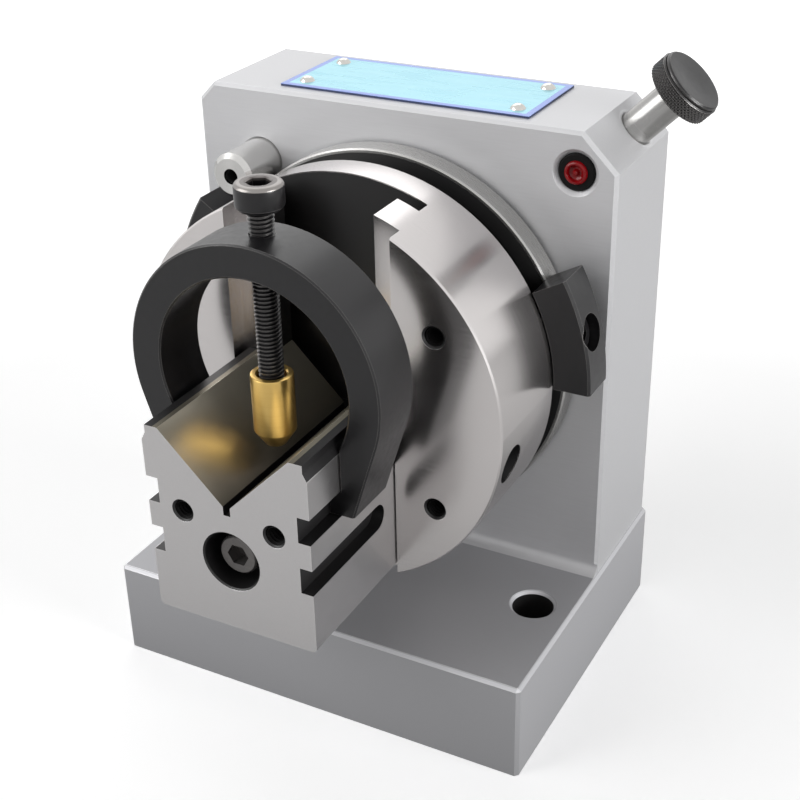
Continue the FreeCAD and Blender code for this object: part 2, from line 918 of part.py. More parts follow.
def collar_start():
    """Where the plunger's collar begins, measured from the spindle."""
    return plunger_guide_start() + free_gap


def make_plunger():
    """The index plunger: tip, collar, stem and polished shaft in one piece."""
    direction, centre = plunger_axis()
    tip = notch_root + plunger_tip_gap
    end_r = notch_end_half
    collar = collar_start()
    collar_end = collar + plunger_collar_w
    shoulder = sleeve_start() + plunger_shoulder
    shaft_end = corner_distance() + plunger_reach
    spigot_end = shaft_end + knob_len - knob_face
    cone = (plunger_tip_r - end_r) / notch_slope
    outline = [(0, tip), (end_r, tip), (plunger_tip_r, tip + cone), (plunger_tip_r, collar),
               (plunger_collar_r, collar), (plunger_collar_r, collar_end),
               (plunger_stem_r, collar_end), (plunger_stem_r, shoulder),
               (plunger_r, shoulder), (plunger_r, shaft_end), (knob_spigot_r, shaft_end),
               (knob_spigot_r, spigot_end), (0, spigot_end)]
    return turned(outline, centre, direction)


def make_plunger_knob():
    """The knob with its knurled rim, a groove and a dished face."""
    direction, centre = plunger_axis()
    start = centre + direction * (corner_distance() + plunger_reach)
    top = knob_len
    cap = top - knob_cap_len
    body = cap - knob_groove_w
    groove_r = knob_cap_r - knob_groove_depth
    floor = top - knob_face
    dish = top - knob_dish_depth
    outline = [(knob_spigot_r, 0), (knob_r - fine_rim, 0), (knob_r, fine_rim),
               (knob_r, body - knob_bevel), (knob_r - knob_bevel, body), (groove_r, body),
               (groove_r, cap), (knob_cap_r, cap), (knob_cap_r, top - fine_rim),
               (knob_cap_r - fine_rim, top), (knob_cap_r - knob_dish_rim, top),
               (knob_dish_r, dish), (0, dish), (0, floor), (knob_spigot_r, floor)]
    return turned(outline, start, direction)


def make_plunger_spring():
    """The coil spring that pushes the plunger into its notch."""
    direction, centre = plunger_axis()
    low = collar_start() + plunger_collar_w + spring_wire_r
    length = sleeve_start() - low - spring_wire_r
    coil_r = plunger_bore_r - spring_gap - spring_wire_r
    helix = Part.makeHelix(length / spring_coils, length, coil_r)
    middle = FreeCAD.Vector(coil_r, 0, 0)
    circle = Part.makeCircle(spring_wire_r, middle, FreeCAD.Vector(0, 1, 0))
    spring = Part.Wire(helix).makePipeShell([Part.Wire([circle])], True, True)
    return placed(spring, centre + direction * low, direction)


def make_stop_pin():
    """The polished stop pin with a tapped hole in its end."""
    rim = stop_rim
    outline = [(0, 0), (stop_r - rim, 0), (stop_r, rim), (stop_r, stop_len - rim),
               (stop_r - rim, stop_len), (0, stop_len)]
    pin = turned(outline, stop_point(-stop_out), inward)
    return pin.cut(rod(stop_point(-stop_out), inward, stop_tap_r, stop_tap_depth))


def make_stop_grub():
    """The grub screw in the left side that brakes the stop pin."""
    z = stop_point(0).z
    x0 = -upright_w / 2 + grub_sink
    length = stop_point(0).x - stop_r - slide_gap - x0
    outline = [(0, 0), (grub_r, 0), (grub_r, length - grub_point),
               (grub_r - grub_point, length), (0, length)]
    start = FreeCAD.Vector(x0, stop_middle(), z)
    screw = turned(outline, start, (1, 0, 0))
    return screw.cut(placed(hexagon(grub_key, grub_key_depth), start, (1, 0, 0)))


def left_dog_start():
    """Where the left dog begins: a little way beyond the stop pin."""
    touch = math.degrees(math.asin((stop_r + free_gap) / stop_circle))
    return stop_angle + touch + left_dog_gap


def dog_inner():
    """The inner radius of the dogs, a sliding fit on the flange."""
    return flange_r + slide_gap


def dog_seat():
    """The radius at which the head of a dog's screw sits."""
    return dog_inner() + dog_seat_wall


def make_dog(start_angle):
    """A stop dog with its tongue in the groove and a sunk screw hole."""
    middle = start_angle + dog_span / 2
    body = arc_block(start_angle, dog_span, dog_inner(), dog_outer_r, dog_front, dog_back)
    long_edges = [e for e in body.Edges if e.Curve.TypeId == "Part::GeomCircle"
                  and abs(e.Curve.Radius - dog_outer_r) < pick_near]
    body = body.makeChamfer(dog_rim, long_edges)
    tongue_span = math.degrees(dog_tongue_len / dog_inner())
    tongue = arc_block(middle - tongue_span / 2, tongue_span, groove_lip_r + free_gap,
                       dog_inner() + 1, disc_back + slide_gap, groove_back - slide_gap)
    top = at_radius(middle, dog_outer_r + 1, groove_middle())
    way_in = radial(middle + 180)
    cuts = [rod(top, way_in, dog_head_r + fine_rim, 1 + dog_outer_r - dog_seat()),
            rod(top, way_in, dog_screw_r + screw_gap, 1 + dog_outer_r - groove_lip_r)]
    return body.fuse(tongue).cut(cuts)


def groove_middle():
    """The middle of the dogs' groove."""
    return (disc_back + groove_back) / 2


def make_dog_screw(start_angle):
    """The screw that clamps a dog."""
    middle = start_angle + dog_span / 2
    length = dog_seat() - groove_floor_r - 2 * free_gap
    end = at_radius(middle, dog_seat() - length, groove_middle())
    screw = cap_screw(dog_head_r, dog_head_h, dog_screw_r, length, dog_screw_key)
    return placed(screw, end, radial(middle))


def make_dog_nut(start_angle):
    """The curved nut of a dog, captive in the undercut of the groove."""
    middle = start_angle + dog_span / 2
    nut_span = math.degrees(dog_nut_len / groove_lip_r)
    y0 = disc_back - groove_undercut + free_gap
    y1 = groove_back + groove_undercut - free_gap
    nut = arc_block(middle - nut_span / 2, nut_span, groove_floor_r + free_gap,
                    groove_lip_r - free_gap, y0, y1)
    top = at_radius(middle, dog_outer_r, groove_middle())
    hole = rod(top, radial(middle + 180), dog_screw_r, dog_outer_r - groove_floor_r + 1)
    return nut.cut(hole)


def rail_low():
    """The lower and upper side of the block's lower rail groove."""
    low = block_top - rail_low_down
    return low, low + rail_low_w


def rail_high():
    """The lower and upper side of the rail groove that holds the clamp ring."""
    low = block_top - rail_high_down
    return low, low + rail_high_w


def block_outline():
    """The right half of the block's front outline, from the bottom to the vee."""
    inner = block_half - rail_depth
    points = [(block_half - edge_break, block_bottom), (block_half, block_bottom + edge_break)]
    low, high = rail_high()
    points += [(block_half, low), (inner, low), (inner, high), (block_half, high)]
    for dx, dz in reversed(corner_cut):
        points.append((block_half - dx, block_top - dz))
    points.append((vee_depth, block_top))
    points.append((vee_relief_half, vee_apex + vee_relief_half))
    points.append((vee_relief_half, vee_apex - vee_relief_depth))
    return points


def low_rail_cuts():
    """The two lower rail grooves, open at the front and rounded at the rear."""
    low, high = rail_low()
    end_r = rail_low_w / 2
    centre_y = block_front + rail_low_len - end_r
    cuts = []
    for side in (-1, 1):
        near, far = sorted((side * (block_half - rail_depth), side * (block_half + 1)))
        cuts.append(box(near, far, block_front - 1, centre_y, low, high))
        cuts.append(rod((near, centre_y, low + end_r), (1, 0, 0), end_r, far - near))
    return cuts


def tongue_back():
    """The back of the block's tongue in the neck of the slot."""
    return face_front + mouth_depth + neck_depth - free_gap


def make_v_block():
    """The V-block with its side rails, tapped holes and tongue."""
    shoulder = face_front + mouth_depth - slide_gap
    outline = mirrored(block_outline())
    body = profile_along_y(outline, block_front, shoulder)
    half = neck_half - slide_gap
    tongue = profile_along_y(outline, shoulder - 1, tongue_back())
    tongue = tongue.common(box(-half, half, shoulder - 1, tongue_back(), block_bottom,
                               block_top))
    cuts = low_rail_cuts()
    for x in (-block_hole_x, block_hole_x):
        mouth = FreeCAD.Vector(x, block_front, block_top - block_hole_down)
        cuts.append(drilled(mouth, inward, block_hole_mouth_r, block_hole_r,
                            block_hole_depth))
    shank = m6_r + free_gap
    through = tongue_back() - block_front + 1
    outline = [(0, 0), (lock_bore_r + fine_rim, 0), (lock_bore_r, fine_rim),
               (lock_bore_r, lock_bore_depth), (shank, lock_bore_depth),
               (shank, through), (0, through)]
    cuts.append(turned(outline, (0, block_front, lock_z), inward))
    return body.fuse(tongue).cut(cuts)


def make_t_plate():
    """The T-plate in the undercut of the slot, drawn forward by the lock screw."""
    front = face_front + mouth_depth + neck_depth + slide_gap
    back = slot_floor - free_gap
    half = undercut_half - free_gap
    plate = box(-half, half, front, back, lock_z - lock_plate_half, lock_z + lock_plate_half)
    corners = []
    for edge in plate.Edges:
        if abs(edge.BoundBox.YLength - (back - front)) < pick_near:
            corners.append(edge)
    plate = plate.makeChamfer(lock_plate_corner, corners)
    return plate.cut(rod((0, front - 1, lock_z), inward, m6_r + run_gap, back - front + 2))


def make_lock_screw():
    """The sunk socket-head screw that locks the block in the slot."""
    seat = block_front + lock_bore_depth - slide_gap
    end = slot_floor - free_gap - lock_screw_spare
    screw = cap_screw(cap_head_r, cap_head_h, m6_r, end - seat, m6_socket)
    return placed(screw, (0, end, lock_z), outward)


def ring_wire():
    """The front outline of the clamp ring: a horseshoe with hooked feet."""
    y = ring_front
    slope = math.radians(leg_slope)
    tangent_x = ring_outer * math.cos(slope)
    tangent_z = ring_z - ring_outer * math.sin(slope)
    foot_low = rail_high()[0] + free_gap
    foot_top = rail_high()[1] - slide_gap
    toe = block_half - rail_depth + free_gap
    inside = block_half + free_gap
    join_z = ring_z - math.sqrt(ring_inner ** 2 - inside ** 2)
    right = [(tangent_x, tangent_z), (foot_x, foot_low), (toe, foot_low), (toe, foot_top),
             (inside, foot_top), (inside, join_z)]
    right = [FreeCAD.Vector(x, y, z) for x, z in right]
    left = [FreeCAD.Vector(-p.x, y, p.z) for p in right]
    edges = []
    for side in (right, left):
        for a, b in zip(side[:-1], side[1:]):
            edges.append(Part.makeLine(a, b))
    outer_top = FreeCAD.Vector(0, y, ring_z + ring_outer)
    inner_top = FreeCAD.Vector(0, y, ring_z + ring_inner)
    edges.append(Part.Arc(right[0], outer_top, left[0]).toShape())
    edges.append(Part.Arc(right[-1], inner_top, left[-1]).toShape())
    return Part.Wire(Part.__sortEdges__(edges))


def make_clamp_ring():
    """The clamp ring, hooked into the upper rails of the block."""
    ring = Part.Face(ring_wire()).extrude(FreeCAD.Vector(0, ring_back - ring_front, 0))
    arcs = [e for e in ring.Edges if e.Curve.TypeId == "Part::GeomCircle"]
    ring = ring.makeChamfer(fine_rim, arcs)
    hole = rod((0, screw_y, ring_z), (0, 0, 1), m6_r + run_gap, ring_outer + 2)
    return ring.cut(hole)


def snap_low():
    """The lower side of the snap ring that keeps the tip."""
    return tip_bottom + nose_up + snap_up


def clamp_head():
    """The underside of the clamp screw's head."""
    return tip_top + clamp_screw_len


def make_clamp_screw():
    """The clamp screw with a plain nose that carries the tip."""
    rim = fine_rim
    neck_z = tip_top - tip_mouth_depth + slide_gap
    nose_z = tip_bottom + nose_up
    groove_low = snap_low() - slide_gap
    groove_high = snap_low() + snap_w + slide_gap
    groove_r = nose_r - snap_nose_depth
    head = clamp_head()
    top = head + m6_head_h
    outline = [(0, nose_z), (nose_r - rim, nose_z), (nose_r, nose_z + rim),
               (nose_r, groove_low), (groove_r, groove_low), (groove_r, groove_high),
               (nose_r, groove_high), (nose_r, neck_z), (m6_r - rim, neck_z),
               (m6_r, neck_z + rim), (m6_r, head), (m6_head_r - rim, head),
               (m6_head_r, head + rim), (m6_head_r, top - rim),
               (m6_head_r - rim, top), (0, top)]
    screw = turned(outline, (0, screw_y, 0), (0, 0, 1))
    key_start = (0, screw_y, top - m6_socket_depth)
    return screw.cut(placed(hexagon(m6_socket, m6_socket_depth), key_start, (0, 0, 1)))


def make_clamp_tip():
    """The brass tip that swivels on the screw and presses on the work."""
    rim = fine_rim
    bore = nose_r + run_gap
    groove_r = bore + snap_tip_depth
    groove_low = snap_low()
    groove_high = groove_low + snap_w
    floor = tip_bottom + tip_floor
    neck_z = tip_top - tip_mouth_depth
    outline = [(0, tip_bottom), (tip_end_r, tip_bottom), (tip_r, tip_bottom + tip_cone),
               (tip_r, tip_top - rim), (tip_r - rim, tip_top), (tip_mouth_r + rim, tip_top),
               (tip_mouth_r, tip_top - rim), (tip_mouth_r, neck_z), (bore, neck_z),
               (bore, groove_high), (groove_r, groove_high), (groove_r, groove_low),
               (bore, groove_low), (bore, floor), (0, floor)]
    return turned(outline, (0, screw_y, 0), (0, 0, 1))


def make_tip_ring():
    """The snap ring that keeps the tip on the screw's nose."""
    outer = nose_r + run_gap + snap_tip_depth
    inner = nose_r - snap_nose_depth + slide_gap
    outline = [(inner, 0), (outer, 0), (outer, snap_w), (inner, snap_w)]
    return turned(outline, (0, screw_y, snap_low()), (0, 0, 1))


def make_name_plate():
    """The thin plate on top of the upright."""
    x0 = plate_x - plate_l / 2
    y0 = plate_y - plate_w / 2
    plate = box(x0, x0 + plate_l, y0, y0 + plate_w, housing_h, housing_h + plate_t)
    holes = [rod(point, (0, 0, 1), rivet_stem_r, plate_t + 1) for point in rivet_points()]
    return plate.cut(holes)


def make_plate_rivets():
    """The four dome-headed rivets of the plate."""
    rivets = []
    stem_r = rivet_stem_r - press_gap
    bow = (rivet_r ** 2 + rivet_rise ** 2) / (2 * rivet_rise)
    for point in rivet_points():
        seat = point + FreeCAD.Vector(0, 0, plate_t)
        dome = Part.makeSphere(bow, seat + FreeCAD.Vector(0, 0, rivet_rise - bow))
        keep = rod(seat, (0, 0, 1), rivet_r, rivet_rise + 1)
        stem = rod(seat, (0, 0, -1), stem_r, rivet_stem_len)
        rivets.append(dome.common(keep).fuse(stem))
    return Part.makeCompound(rivets)


def make_oil_ring():
    """The black ring that holds the oil plug in its bore."""
    rim = fine_rim
    outline = [(oil_plug_r, rim), (oil_bore_r - rim, rim), (oil_bore_r, 2 * rim),
               (oil_bore_r, oil_depth), (oil_plug_r, oil_depth)]
    return turned(outline, (oil_x, 0, oil_z), inward)


def make_oil_plug():
    """The red plug with a low dome."""
    outline = [(0, -oil_plug_rise), (oil_plug_r / 2, -oil_plug_rise / 2),
               (oil_plug_r, oil_plug_rise), (oil_plug_r, oil_plug_len), (0, oil_plug_len)]
    return turned(outline, (oil_x, 0, oil_z), inward)


def make_parts():
    """Every piece under the name of its node."""
    left = left_dog_start()
    return {
        "housing": make_housing(),
        "front_bush": make_front_bush(),
        "rear_cover": make_rear_cover(),
        "rear_bush": make_rear_bush(),
        "cover_screws": make_cover_screws(),
        "name_plate": make_name_plate(),
        "plate_rivets": make_plate_rivets(),
        "oil_ring": make_oil_ring(),
        "oil_plug": make_oil_plug(),
        "stop_grub": make_stop_grub(),
        "plunger_sleeve": make_plunger_sleeve(),
        "plunger_spring": make_plunger_spring(),
        "plunger": make_plunger(),
        "plunger_knob": make_plunger_knob(),
        "stop_pin": make_stop_pin(),
        "spindle": make_spindle(),
        "flange_screws": make_flange_screws(),
        "faceplate": make_faceplate(),
        "side_set_screw": make_side_set_screw(),
        "index_ring": make_index_ring(),
        "index_key": make_index_key(),
        "lock_nut": make_lock_nut(),
        "hand_dial": make_dial(),
        "dial_set_screw": make_dial_set_screw(),
        "dial_washer": make_dial_washer(),
        "dial_screw": make_dial_screw(),
        "grip_pin": make_grip_pin(),
        "grip": make_grip(),
        "right_dog": make_dog(right_dog_start),
        "right_dog_screw": make_dog_screw(right_dog_start),
        "right_dog_nut": make_dog_nut(right_dog_start),
        "left_dog": make_dog(left),
        "left_dog_screw": make_dog_screw(left),
        "left_dog_nut": make_dog_nut(left),
        "v_block": make_v_block(),
        "t_plate": make_t_plate(),
        "lock_screw": make_lock_screw(),
        "clamp_ring": make_clamp_ring(),
        "clamp_screw": make_clamp_screw(),
        "clamp_tip": make_clamp_tip(),
        "tip_ring": make_tip_ring(),
    }


os.makedirs("parts", exist_ok=True)
for name, shape in make_parts().items():
    shape.exportStep("parts/" + name + ".step")
    print(name, shape.isValid(), len(shape.Solids), round(shape.Volume, 1))
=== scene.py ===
# %% [markdown]
# # Punch former
#
# A punch former holds a bar while its end is ground. An L-shaped housing carries a spindle, and on
# the spindle's nose sits a round faceplate with a T-slot, a V-block and a clamp ring. The solids
# come ready from CAD. Here they get their finishes, and the small things that CAD leaves out are
# made: threads, knurls, the dial's lines and numbers.

import json
import math

import bmesh
import bpy
from mathutils import Matrix, Vector

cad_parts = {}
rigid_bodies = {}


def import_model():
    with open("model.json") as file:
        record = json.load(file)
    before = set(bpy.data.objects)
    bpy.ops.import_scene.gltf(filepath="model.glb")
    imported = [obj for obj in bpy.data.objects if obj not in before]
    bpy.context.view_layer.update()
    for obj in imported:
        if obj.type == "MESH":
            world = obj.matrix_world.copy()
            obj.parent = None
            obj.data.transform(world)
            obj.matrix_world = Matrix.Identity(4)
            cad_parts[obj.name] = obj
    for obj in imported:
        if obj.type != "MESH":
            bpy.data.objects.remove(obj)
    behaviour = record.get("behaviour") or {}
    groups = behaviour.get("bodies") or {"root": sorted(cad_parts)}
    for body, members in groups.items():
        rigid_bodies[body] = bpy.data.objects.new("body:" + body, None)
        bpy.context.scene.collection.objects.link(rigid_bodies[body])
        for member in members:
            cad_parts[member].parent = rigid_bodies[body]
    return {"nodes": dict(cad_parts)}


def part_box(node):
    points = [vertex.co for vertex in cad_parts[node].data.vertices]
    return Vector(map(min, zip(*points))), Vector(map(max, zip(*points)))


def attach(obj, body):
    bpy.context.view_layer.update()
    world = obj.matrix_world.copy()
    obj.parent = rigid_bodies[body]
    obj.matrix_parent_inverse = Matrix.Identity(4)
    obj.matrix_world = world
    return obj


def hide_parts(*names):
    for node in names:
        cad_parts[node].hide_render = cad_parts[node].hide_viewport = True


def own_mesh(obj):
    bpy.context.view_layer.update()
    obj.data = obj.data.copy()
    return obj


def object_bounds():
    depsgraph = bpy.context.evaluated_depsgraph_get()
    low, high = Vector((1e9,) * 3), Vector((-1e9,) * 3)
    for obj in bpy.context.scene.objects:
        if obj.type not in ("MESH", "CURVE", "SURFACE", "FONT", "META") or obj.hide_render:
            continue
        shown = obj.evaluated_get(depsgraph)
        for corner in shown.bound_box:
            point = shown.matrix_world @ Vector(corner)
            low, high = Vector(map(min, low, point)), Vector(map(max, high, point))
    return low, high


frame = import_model()
cad_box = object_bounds()
nodes = frame["nodes"]

# %% [markdown]
# Lengths below are written in millimetres, because that is how such a tool is drawn, and one
# factor turns them to Blender's metres. The housing's origin lies on the underside of the base,
# below the spindle, in the plane of the upright's front face. The spindle is 90 mm up, and most
# turned pieces are placed about it.

# %% Lengths and places
MM = 0.001
SPINDLE_Z = 90.0


def point(x, y, z):
    """A place in millimetres, as Blender's metres."""
    return Vector((x, y, z)) * MM


low, high = cad_box
print("size in mm:", [round((b - a) / MM, 1) for a, b in zip(low, high)])

# %% [markdown]
# The camera stands where the photographer stood: a little to the right of the front, and about as
# far above. Three angles give its directions, and its place follows from how far it stands from
# the object and how far the object lies off the picture's middle. A long lens keeps the edges
# nearly parallel, as in a product photograph.

# %% Camera
AZIMUTH, ELEVATION, ROLL = (math.radians(v) for v in (28.49, 28.40, -1.306))
FOCAL_LENGTH = 64.59
SENSOR_WIDTH = 36.0
DISTANCE, OFF_RIGHT, OFF_UP = 427.227, -1.63, 59.164

back = Vector((math.sin(AZIMUTH) * math.cos(ELEVATION),
               -math.cos(AZIMUTH) * math.cos(ELEVATION), math.sin(ELEVATION)))
level_right = Vector((math.cos(AZIMUTH), math.sin(AZIMUTH), 0))
level_up = back.cross(level_right)
right = math.cos(ROLL) * level_right + math.sin(ROLL) * level_up
up = math.cos(ROLL) * level_up - math.sin(ROLL) * level_right

camera = bpy.data.objects.new("camera", bpy.data.cameras.new("camera"))
camera.data.lens = FOCAL_LENGTH
camera.data.sensor_width = SENSOR_WIDTH
camera.data.sensor_fit = "HORIZONTAL"
camera.data.clip_start, camera.data.clip_end = 0.01, 20.0
turn = Matrix((right, up, back)).transposed().to_4x4()
camera.matrix_world = Matrix.Translation((back * DISTANCE + right * OFF_RIGHT
                                          + up * OFF_UP) * MM) @ turn
bpy.context.scene.collection.objects.link(camera)
bpy.context.scene.camera = camera
print("camera at", [round(v, 3) for v in camera.matrix_world.translation])

# %% [markdown]
# A material is a small tree of nodes. One function adds any node, sets its values and links what
# feeds it, so each finish below reads as a list of decisions. Colours are written as on screen and
# turned to the linear values that light is reckoned in. Each finish starts from one Principled
# shader, whose own sockets hold whatever is the same all over the surface.

# %% Helpers for finishes
def linear(hex_colour):
    """A screen colour such as "#C0C0C0" as linear red, green, blue and alpha."""
    values = []
    for i in (1, 3, 5):
        c = int(hex_colour[i:i + 2], 16) / 255
        values.append(c / 12.92 if c <= 0.04045 else ((c + 0.055) / 1.055) ** 2.4)
    return (*values, 1.0)


def add(tree, kind, settings=None, links=None):
    """Adds a node, sets its sockets or properties and links its inputs."""
    node = tree.nodes.new(kind)
    for key, value in (settings or {}).items():
        if isinstance(key, int) or key in node.inputs:
            node.inputs[key].default_value = value
        else:
            setattr(node, key, value)
    for key, source in (links or {}).items():
        tree.links.new(source, node.inputs[key])
    return node


def new_finish(name, colour, metallic, roughness, **sockets):
    """A material with one Principled shader; returns its tree and the shader."""
    material = bpy.data.materials.new(name)
    material.use_nodes = True
    shader = material.node_tree.nodes["Principled BSDF"]
    shader.inputs["Base Color"].default_value = linear(colour)
    shader.inputs["Metallic"].default_value = metallic
    shader.inputs["Roughness"].default_value = roughness
    for key, value in sockets.items():
        shader.inputs[key.replace("_", " ")].default_value = value
    return material, material.node_tree, shader


def dress(material, *names):
    """Gives CAD nodes a finish."""
    for name in names:
        for slot in nodes[name].material_slots:
            slot.material = material


# %% [markdown]
# Some pieces carry two finishes: ground outside, and black in their holes and grooves. Instead of
# cutting the piece up, the material asks where a point of the surface lies and lays the second
# finish over the first there. A mask is 1 inside and 0 outside. The basic mask is a band: is this
# value between two limits? Bands are multiplied to mean "and", and the larger one means "or". In
# the same way, bare and lighter metal is laid along worn edges.

# %% Helpers for two finishes on one piece
def place_of(tree):
    """The point's X, distance from the middle plane, Y and Z, all in metres."""
    where = add(tree, "ShaderNodeTexCoord")
    parts = add(tree, "ShaderNodeSeparateXYZ", links={"Vector": where.outputs["Object"]})
    side = add(tree, "ShaderNodeMath", {"operation": "ABSOLUTE"}, {0: parts.outputs["X"]})
    return side.outputs["Value"], parts.outputs["Y"], parts.outputs["Z"]


def band(tree, value, low_mm, high_mm):
    """1 where a length lies between two limits in millimetres."""
    test = add(tree, "ShaderNodeMath", {"operation": "COMPARE", 1: (low_mm + high_mm) / 2 * MM,
                                        2: (high_mm - low_mm) / 2 * MM}, {0: value})
    return test.outputs["Value"]


def join(tree, operation, masks):
    """Several masks in one: MULTIPLY for all of them, MAXIMUM for any of them."""
    result = masks[0]
    for mask in masks[1:]:
        node = add(tree, "ShaderNodeMath", {"operation": operation}, {0: result, 1: mask})
        result = node.outputs["Value"]
    return result


def reach_from(tree, first, second, centre_mm):
    """The distance of two coordinates from a centre, for round holes."""
    flat = add(tree, "ShaderNodeCombineXYZ", links={"X": first, "Y": second})
    centre = (centre_mm[0] * MM, centre_mm[1] * MM, 0)
    gap = add(tree, "ShaderNodeVectorMath", {"operation": "DISTANCE", 1: centre},
              {0: flat.outputs["Vector"]})
    return gap.outputs["Value"]


def lay_over(tree, shader, mask, colour, metallic, roughness):
    """Lays a second finish over the first where the mask is 1."""
    for name, value, kind, a, b, out in (("Base Color", linear(colour), "RGBA", 6, 7, 2),
                                         ("Metallic", metallic, "FLOAT", 2, 3, 0),
                                         ("Roughness", roughness, "FLOAT", 2, 3, 0)):
        target = shader.inputs[name]
        mix = add(tree, "ShaderNodeMix", {"data_type": kind, a: target.default_value, b: value},
                  {0: mask})
        if target.is_linked:
            tree.links.new(target.links[0].from_socket, mix.inputs[a])
        tree.links.new(mix.outputs[out], target)


# %% [markdown]
# Worked metal is never even. A wheel or a turning tool leaves fine lines along its path, and those
# lines are what the eye reads as steel. A noise that is stretched along the path draws them. Real
# grinding lines are a few hundredths of a millimetre apart, too fine for the picture, so they are
# drawn as coarse as they need to be to show. The same pattern steers the colour, the roughness and
# a very slight relief, because on real metal they come from the same scratches.

# %% Patterns of worked metal
def grain(tree, size_mm, centre=(0, 0, 0), detail=3.0):
    """A noise of a given grain along X, Y and Z, in millimetres."""
    where = add(tree, "ShaderNodeTexCoord")
    scale = [1 / (s * MM) for s in size_mm]
    shift = [-c * MM * s for c, s in zip(centre, scale)]
    place = add(tree, "ShaderNodeMapping", {"Scale": scale, "Location": shift},
                {"Vector": where.outputs["Object"]})
    noise = add(tree, "ShaderNodeTexNoise", {"Scale": 1.0, "Detail": detail},
                {"Vector": place.outputs["Vector"]})
    return noise.outputs["Fac"]


def turning(tree, shader, size_mm, centre_mm, axis):
    """Rings round an axis, as a lathe leaves them, and the sheen that they draw along it."""
    where = add(tree, "ShaderNodeTexCoord")
    off = add(tree, "ShaderNodeVectorMath", {"operation": "SUBTRACT", 1: point(*centre_mm)},
              {0: where.outputs["Object"]})
    round_way = add(tree, "ShaderNodeVectorMath", {"operation": "CROSS_PRODUCT", 0: axis},
                    {1: off.outputs["Vector"]})
    reach = add(tree, "ShaderNodeVectorMath", {"operation": "LENGTH"},
                {0: round_way.outputs["Vector"]})
    height = add(tree, "ShaderNodeVectorMath", {"operation": "DOT_PRODUCT", 0: axis},
                 {1: off.outputs["Vector"]})
    flat = add(tree, "ShaderNodeCombineXYZ", links={"X": reach.outputs["Value"],
                                                    "Y": height.outputs["Value"]})
    noise = add(tree, "ShaderNodeTexNoise", {"Scale": 1 / (size_mm * MM), "Detail": 2.0},
                {"Vector": flat.outputs["Vector"]})
    across = add(tree, "ShaderNodeVectorMath", {"operation": "CROSS_PRODUCT"},
                 {0: where.outputs["Normal"], 1: round_way.outputs["Vector"]})
    world = add(tree, "ShaderNodeVectorTransform", {"convert_from": "OBJECT",
                                                    "convert_to": "WORLD"},
                {"Vector": across.outputs["Vector"]})
    tree.links.new(world.outputs["Vector"], shader.inputs["Tangent"])
    return noise.outputs["Fac"]


def worn_edges(tree, width_mm):
    """1 on edges and 0 on flat parts: an edge is where rounding it would turn its normal."""
    rounded = add(tree, "ShaderNodeBevel", {"samples": 4, "Radius": width_mm * MM})
    plain = add(tree, "ShaderNodeNewGeometry")
    same = add(tree, "ShaderNodeVectorMath", {"operation": "DOT_PRODUCT"},
               {0: rounded.outputs["Normal"], 1: plain.outputs["Normal"]})
    edge = add(tree, "ShaderNodeMapRange", {"From Min": 0.99, "From Max": 0.80},
               {"Value": same.outputs["Value"]})
    return edge.outputs["Result"]


def work(tree, shader, pattern, colours, roughness, relief_mm):
    """Lets a pattern steer the colour, the roughness and the relief of a surface."""
    colour = add(tree, "ShaderNodeMix", {"data_type": "RGBA", 6: linear(colours[0]),
                                         7: linear(colours[1])}, {0: pattern})
    tree.links.new(colour.outputs[2], shader.inputs["Base Color"])
    rough = add(tree, "ShaderNodeMapRange", {"From Min": 0.3, "From Max": 0.7,
                                             "To Min": roughness[0], "To Max": roughness[1]},
                {"Value": pattern})
    tree.links.new(rough.outputs["Result"], shader.inputs["Roughness"])
    bump = add(tree, "ShaderNodeBump", {"Strength": 1.0, "Distance": relief_mm * MM},
               {"Height": pattern})
    tree.links.new(bump.outputs["Normal"], shader.inputs["Normal"])
    return colour


# %% [markdown]
# The housing is hardened steel, ground on every outer face. It reflects softly, without an image,
# and looks almost like grey paper with a fine grain. The grinding lines run along X, and its edges
# are rubbed brighter. The foot is painted a shade darker, most of all on its top face: painted
# shade. The bolt holes are painted near-black inside: painted shade in the deep holes.

# %% Ground steel of the housing
BOLT_X, BOLT_Y, BOLT_R, FOOT_TOP = 49.0, -20.0, 5.7, 27.5

ground_steel, tree, shader = new_finish("ground_steel_satin", "#D2D2D4", 0.4, 0.5)
lines = grain(tree, (9.0, 0.5, 0.5), detail=2.0)
work(tree, shader, lines, ("#D0D0D2", "#DADADC"), (0.45, 0.56), 0.006)
side, y, z = place_of(tree)
bolt_holes = join(tree, "MULTIPLY", [
    band(tree, reach_from(tree, side, y, (BOLT_X, BOLT_Y)), -1, BOLT_R),
    band(tree, z, 0.2, FOOT_TOP - 0.9)])
# Painted shade: the foot a shade darker, and the top face of the foot darker still.
lay_over(tree, shader, band(tree, z, -1, FOOT_TOP), "#CACACD", 0.4, 0.5)
lay_over(tree, shader, band(tree, z, FOOT_TOP - 0.2, FOOT_TOP + 0.05), "#ADADB0", 0.4, 0.5)
lay_over(tree, shader, worn_edges(tree, 0.35), "#E4E4E6", 0.9, 0.30)
# Painted shade: the bolt holes near-black inside.
lay_over(tree, shader, bolt_holes, "#1C1B1B", 0.0, 0.5)
dress(ground_steel, "housing", "rear_cover", "plunger_sleeve")
print("ground:", ground_steel.name)

# %% [markdown]
# The V-block is ground finer. Its vee is lapped and oiled. Its lighter, warmer colour is a painted
# reflection of the brass tip above it, over the real one, and it is painted darker towards the
# bottom: painted shade in the crease of the vee. The rails along its sides, the holes in its front
# and the relief at the bottom of the vee are painted near-black: painted shade in these recesses.

# %% Lapped steel of the V-block
FRONT_Y, VEE_APEX, LOCK_Z, LOCK_R, TAP_X, TAP_Z = -84.0, 79.6, 65.8, 8.0, 12.4, 76.3
VEE_HALF, LAND_HALF, BLOCK_SIDE = 17.5, 18.7, 21.93
RAILS = ((62.95, 69.85), (76.55, 83.35), (92.9, 98.0))
TAP_MASK_R = 3.1

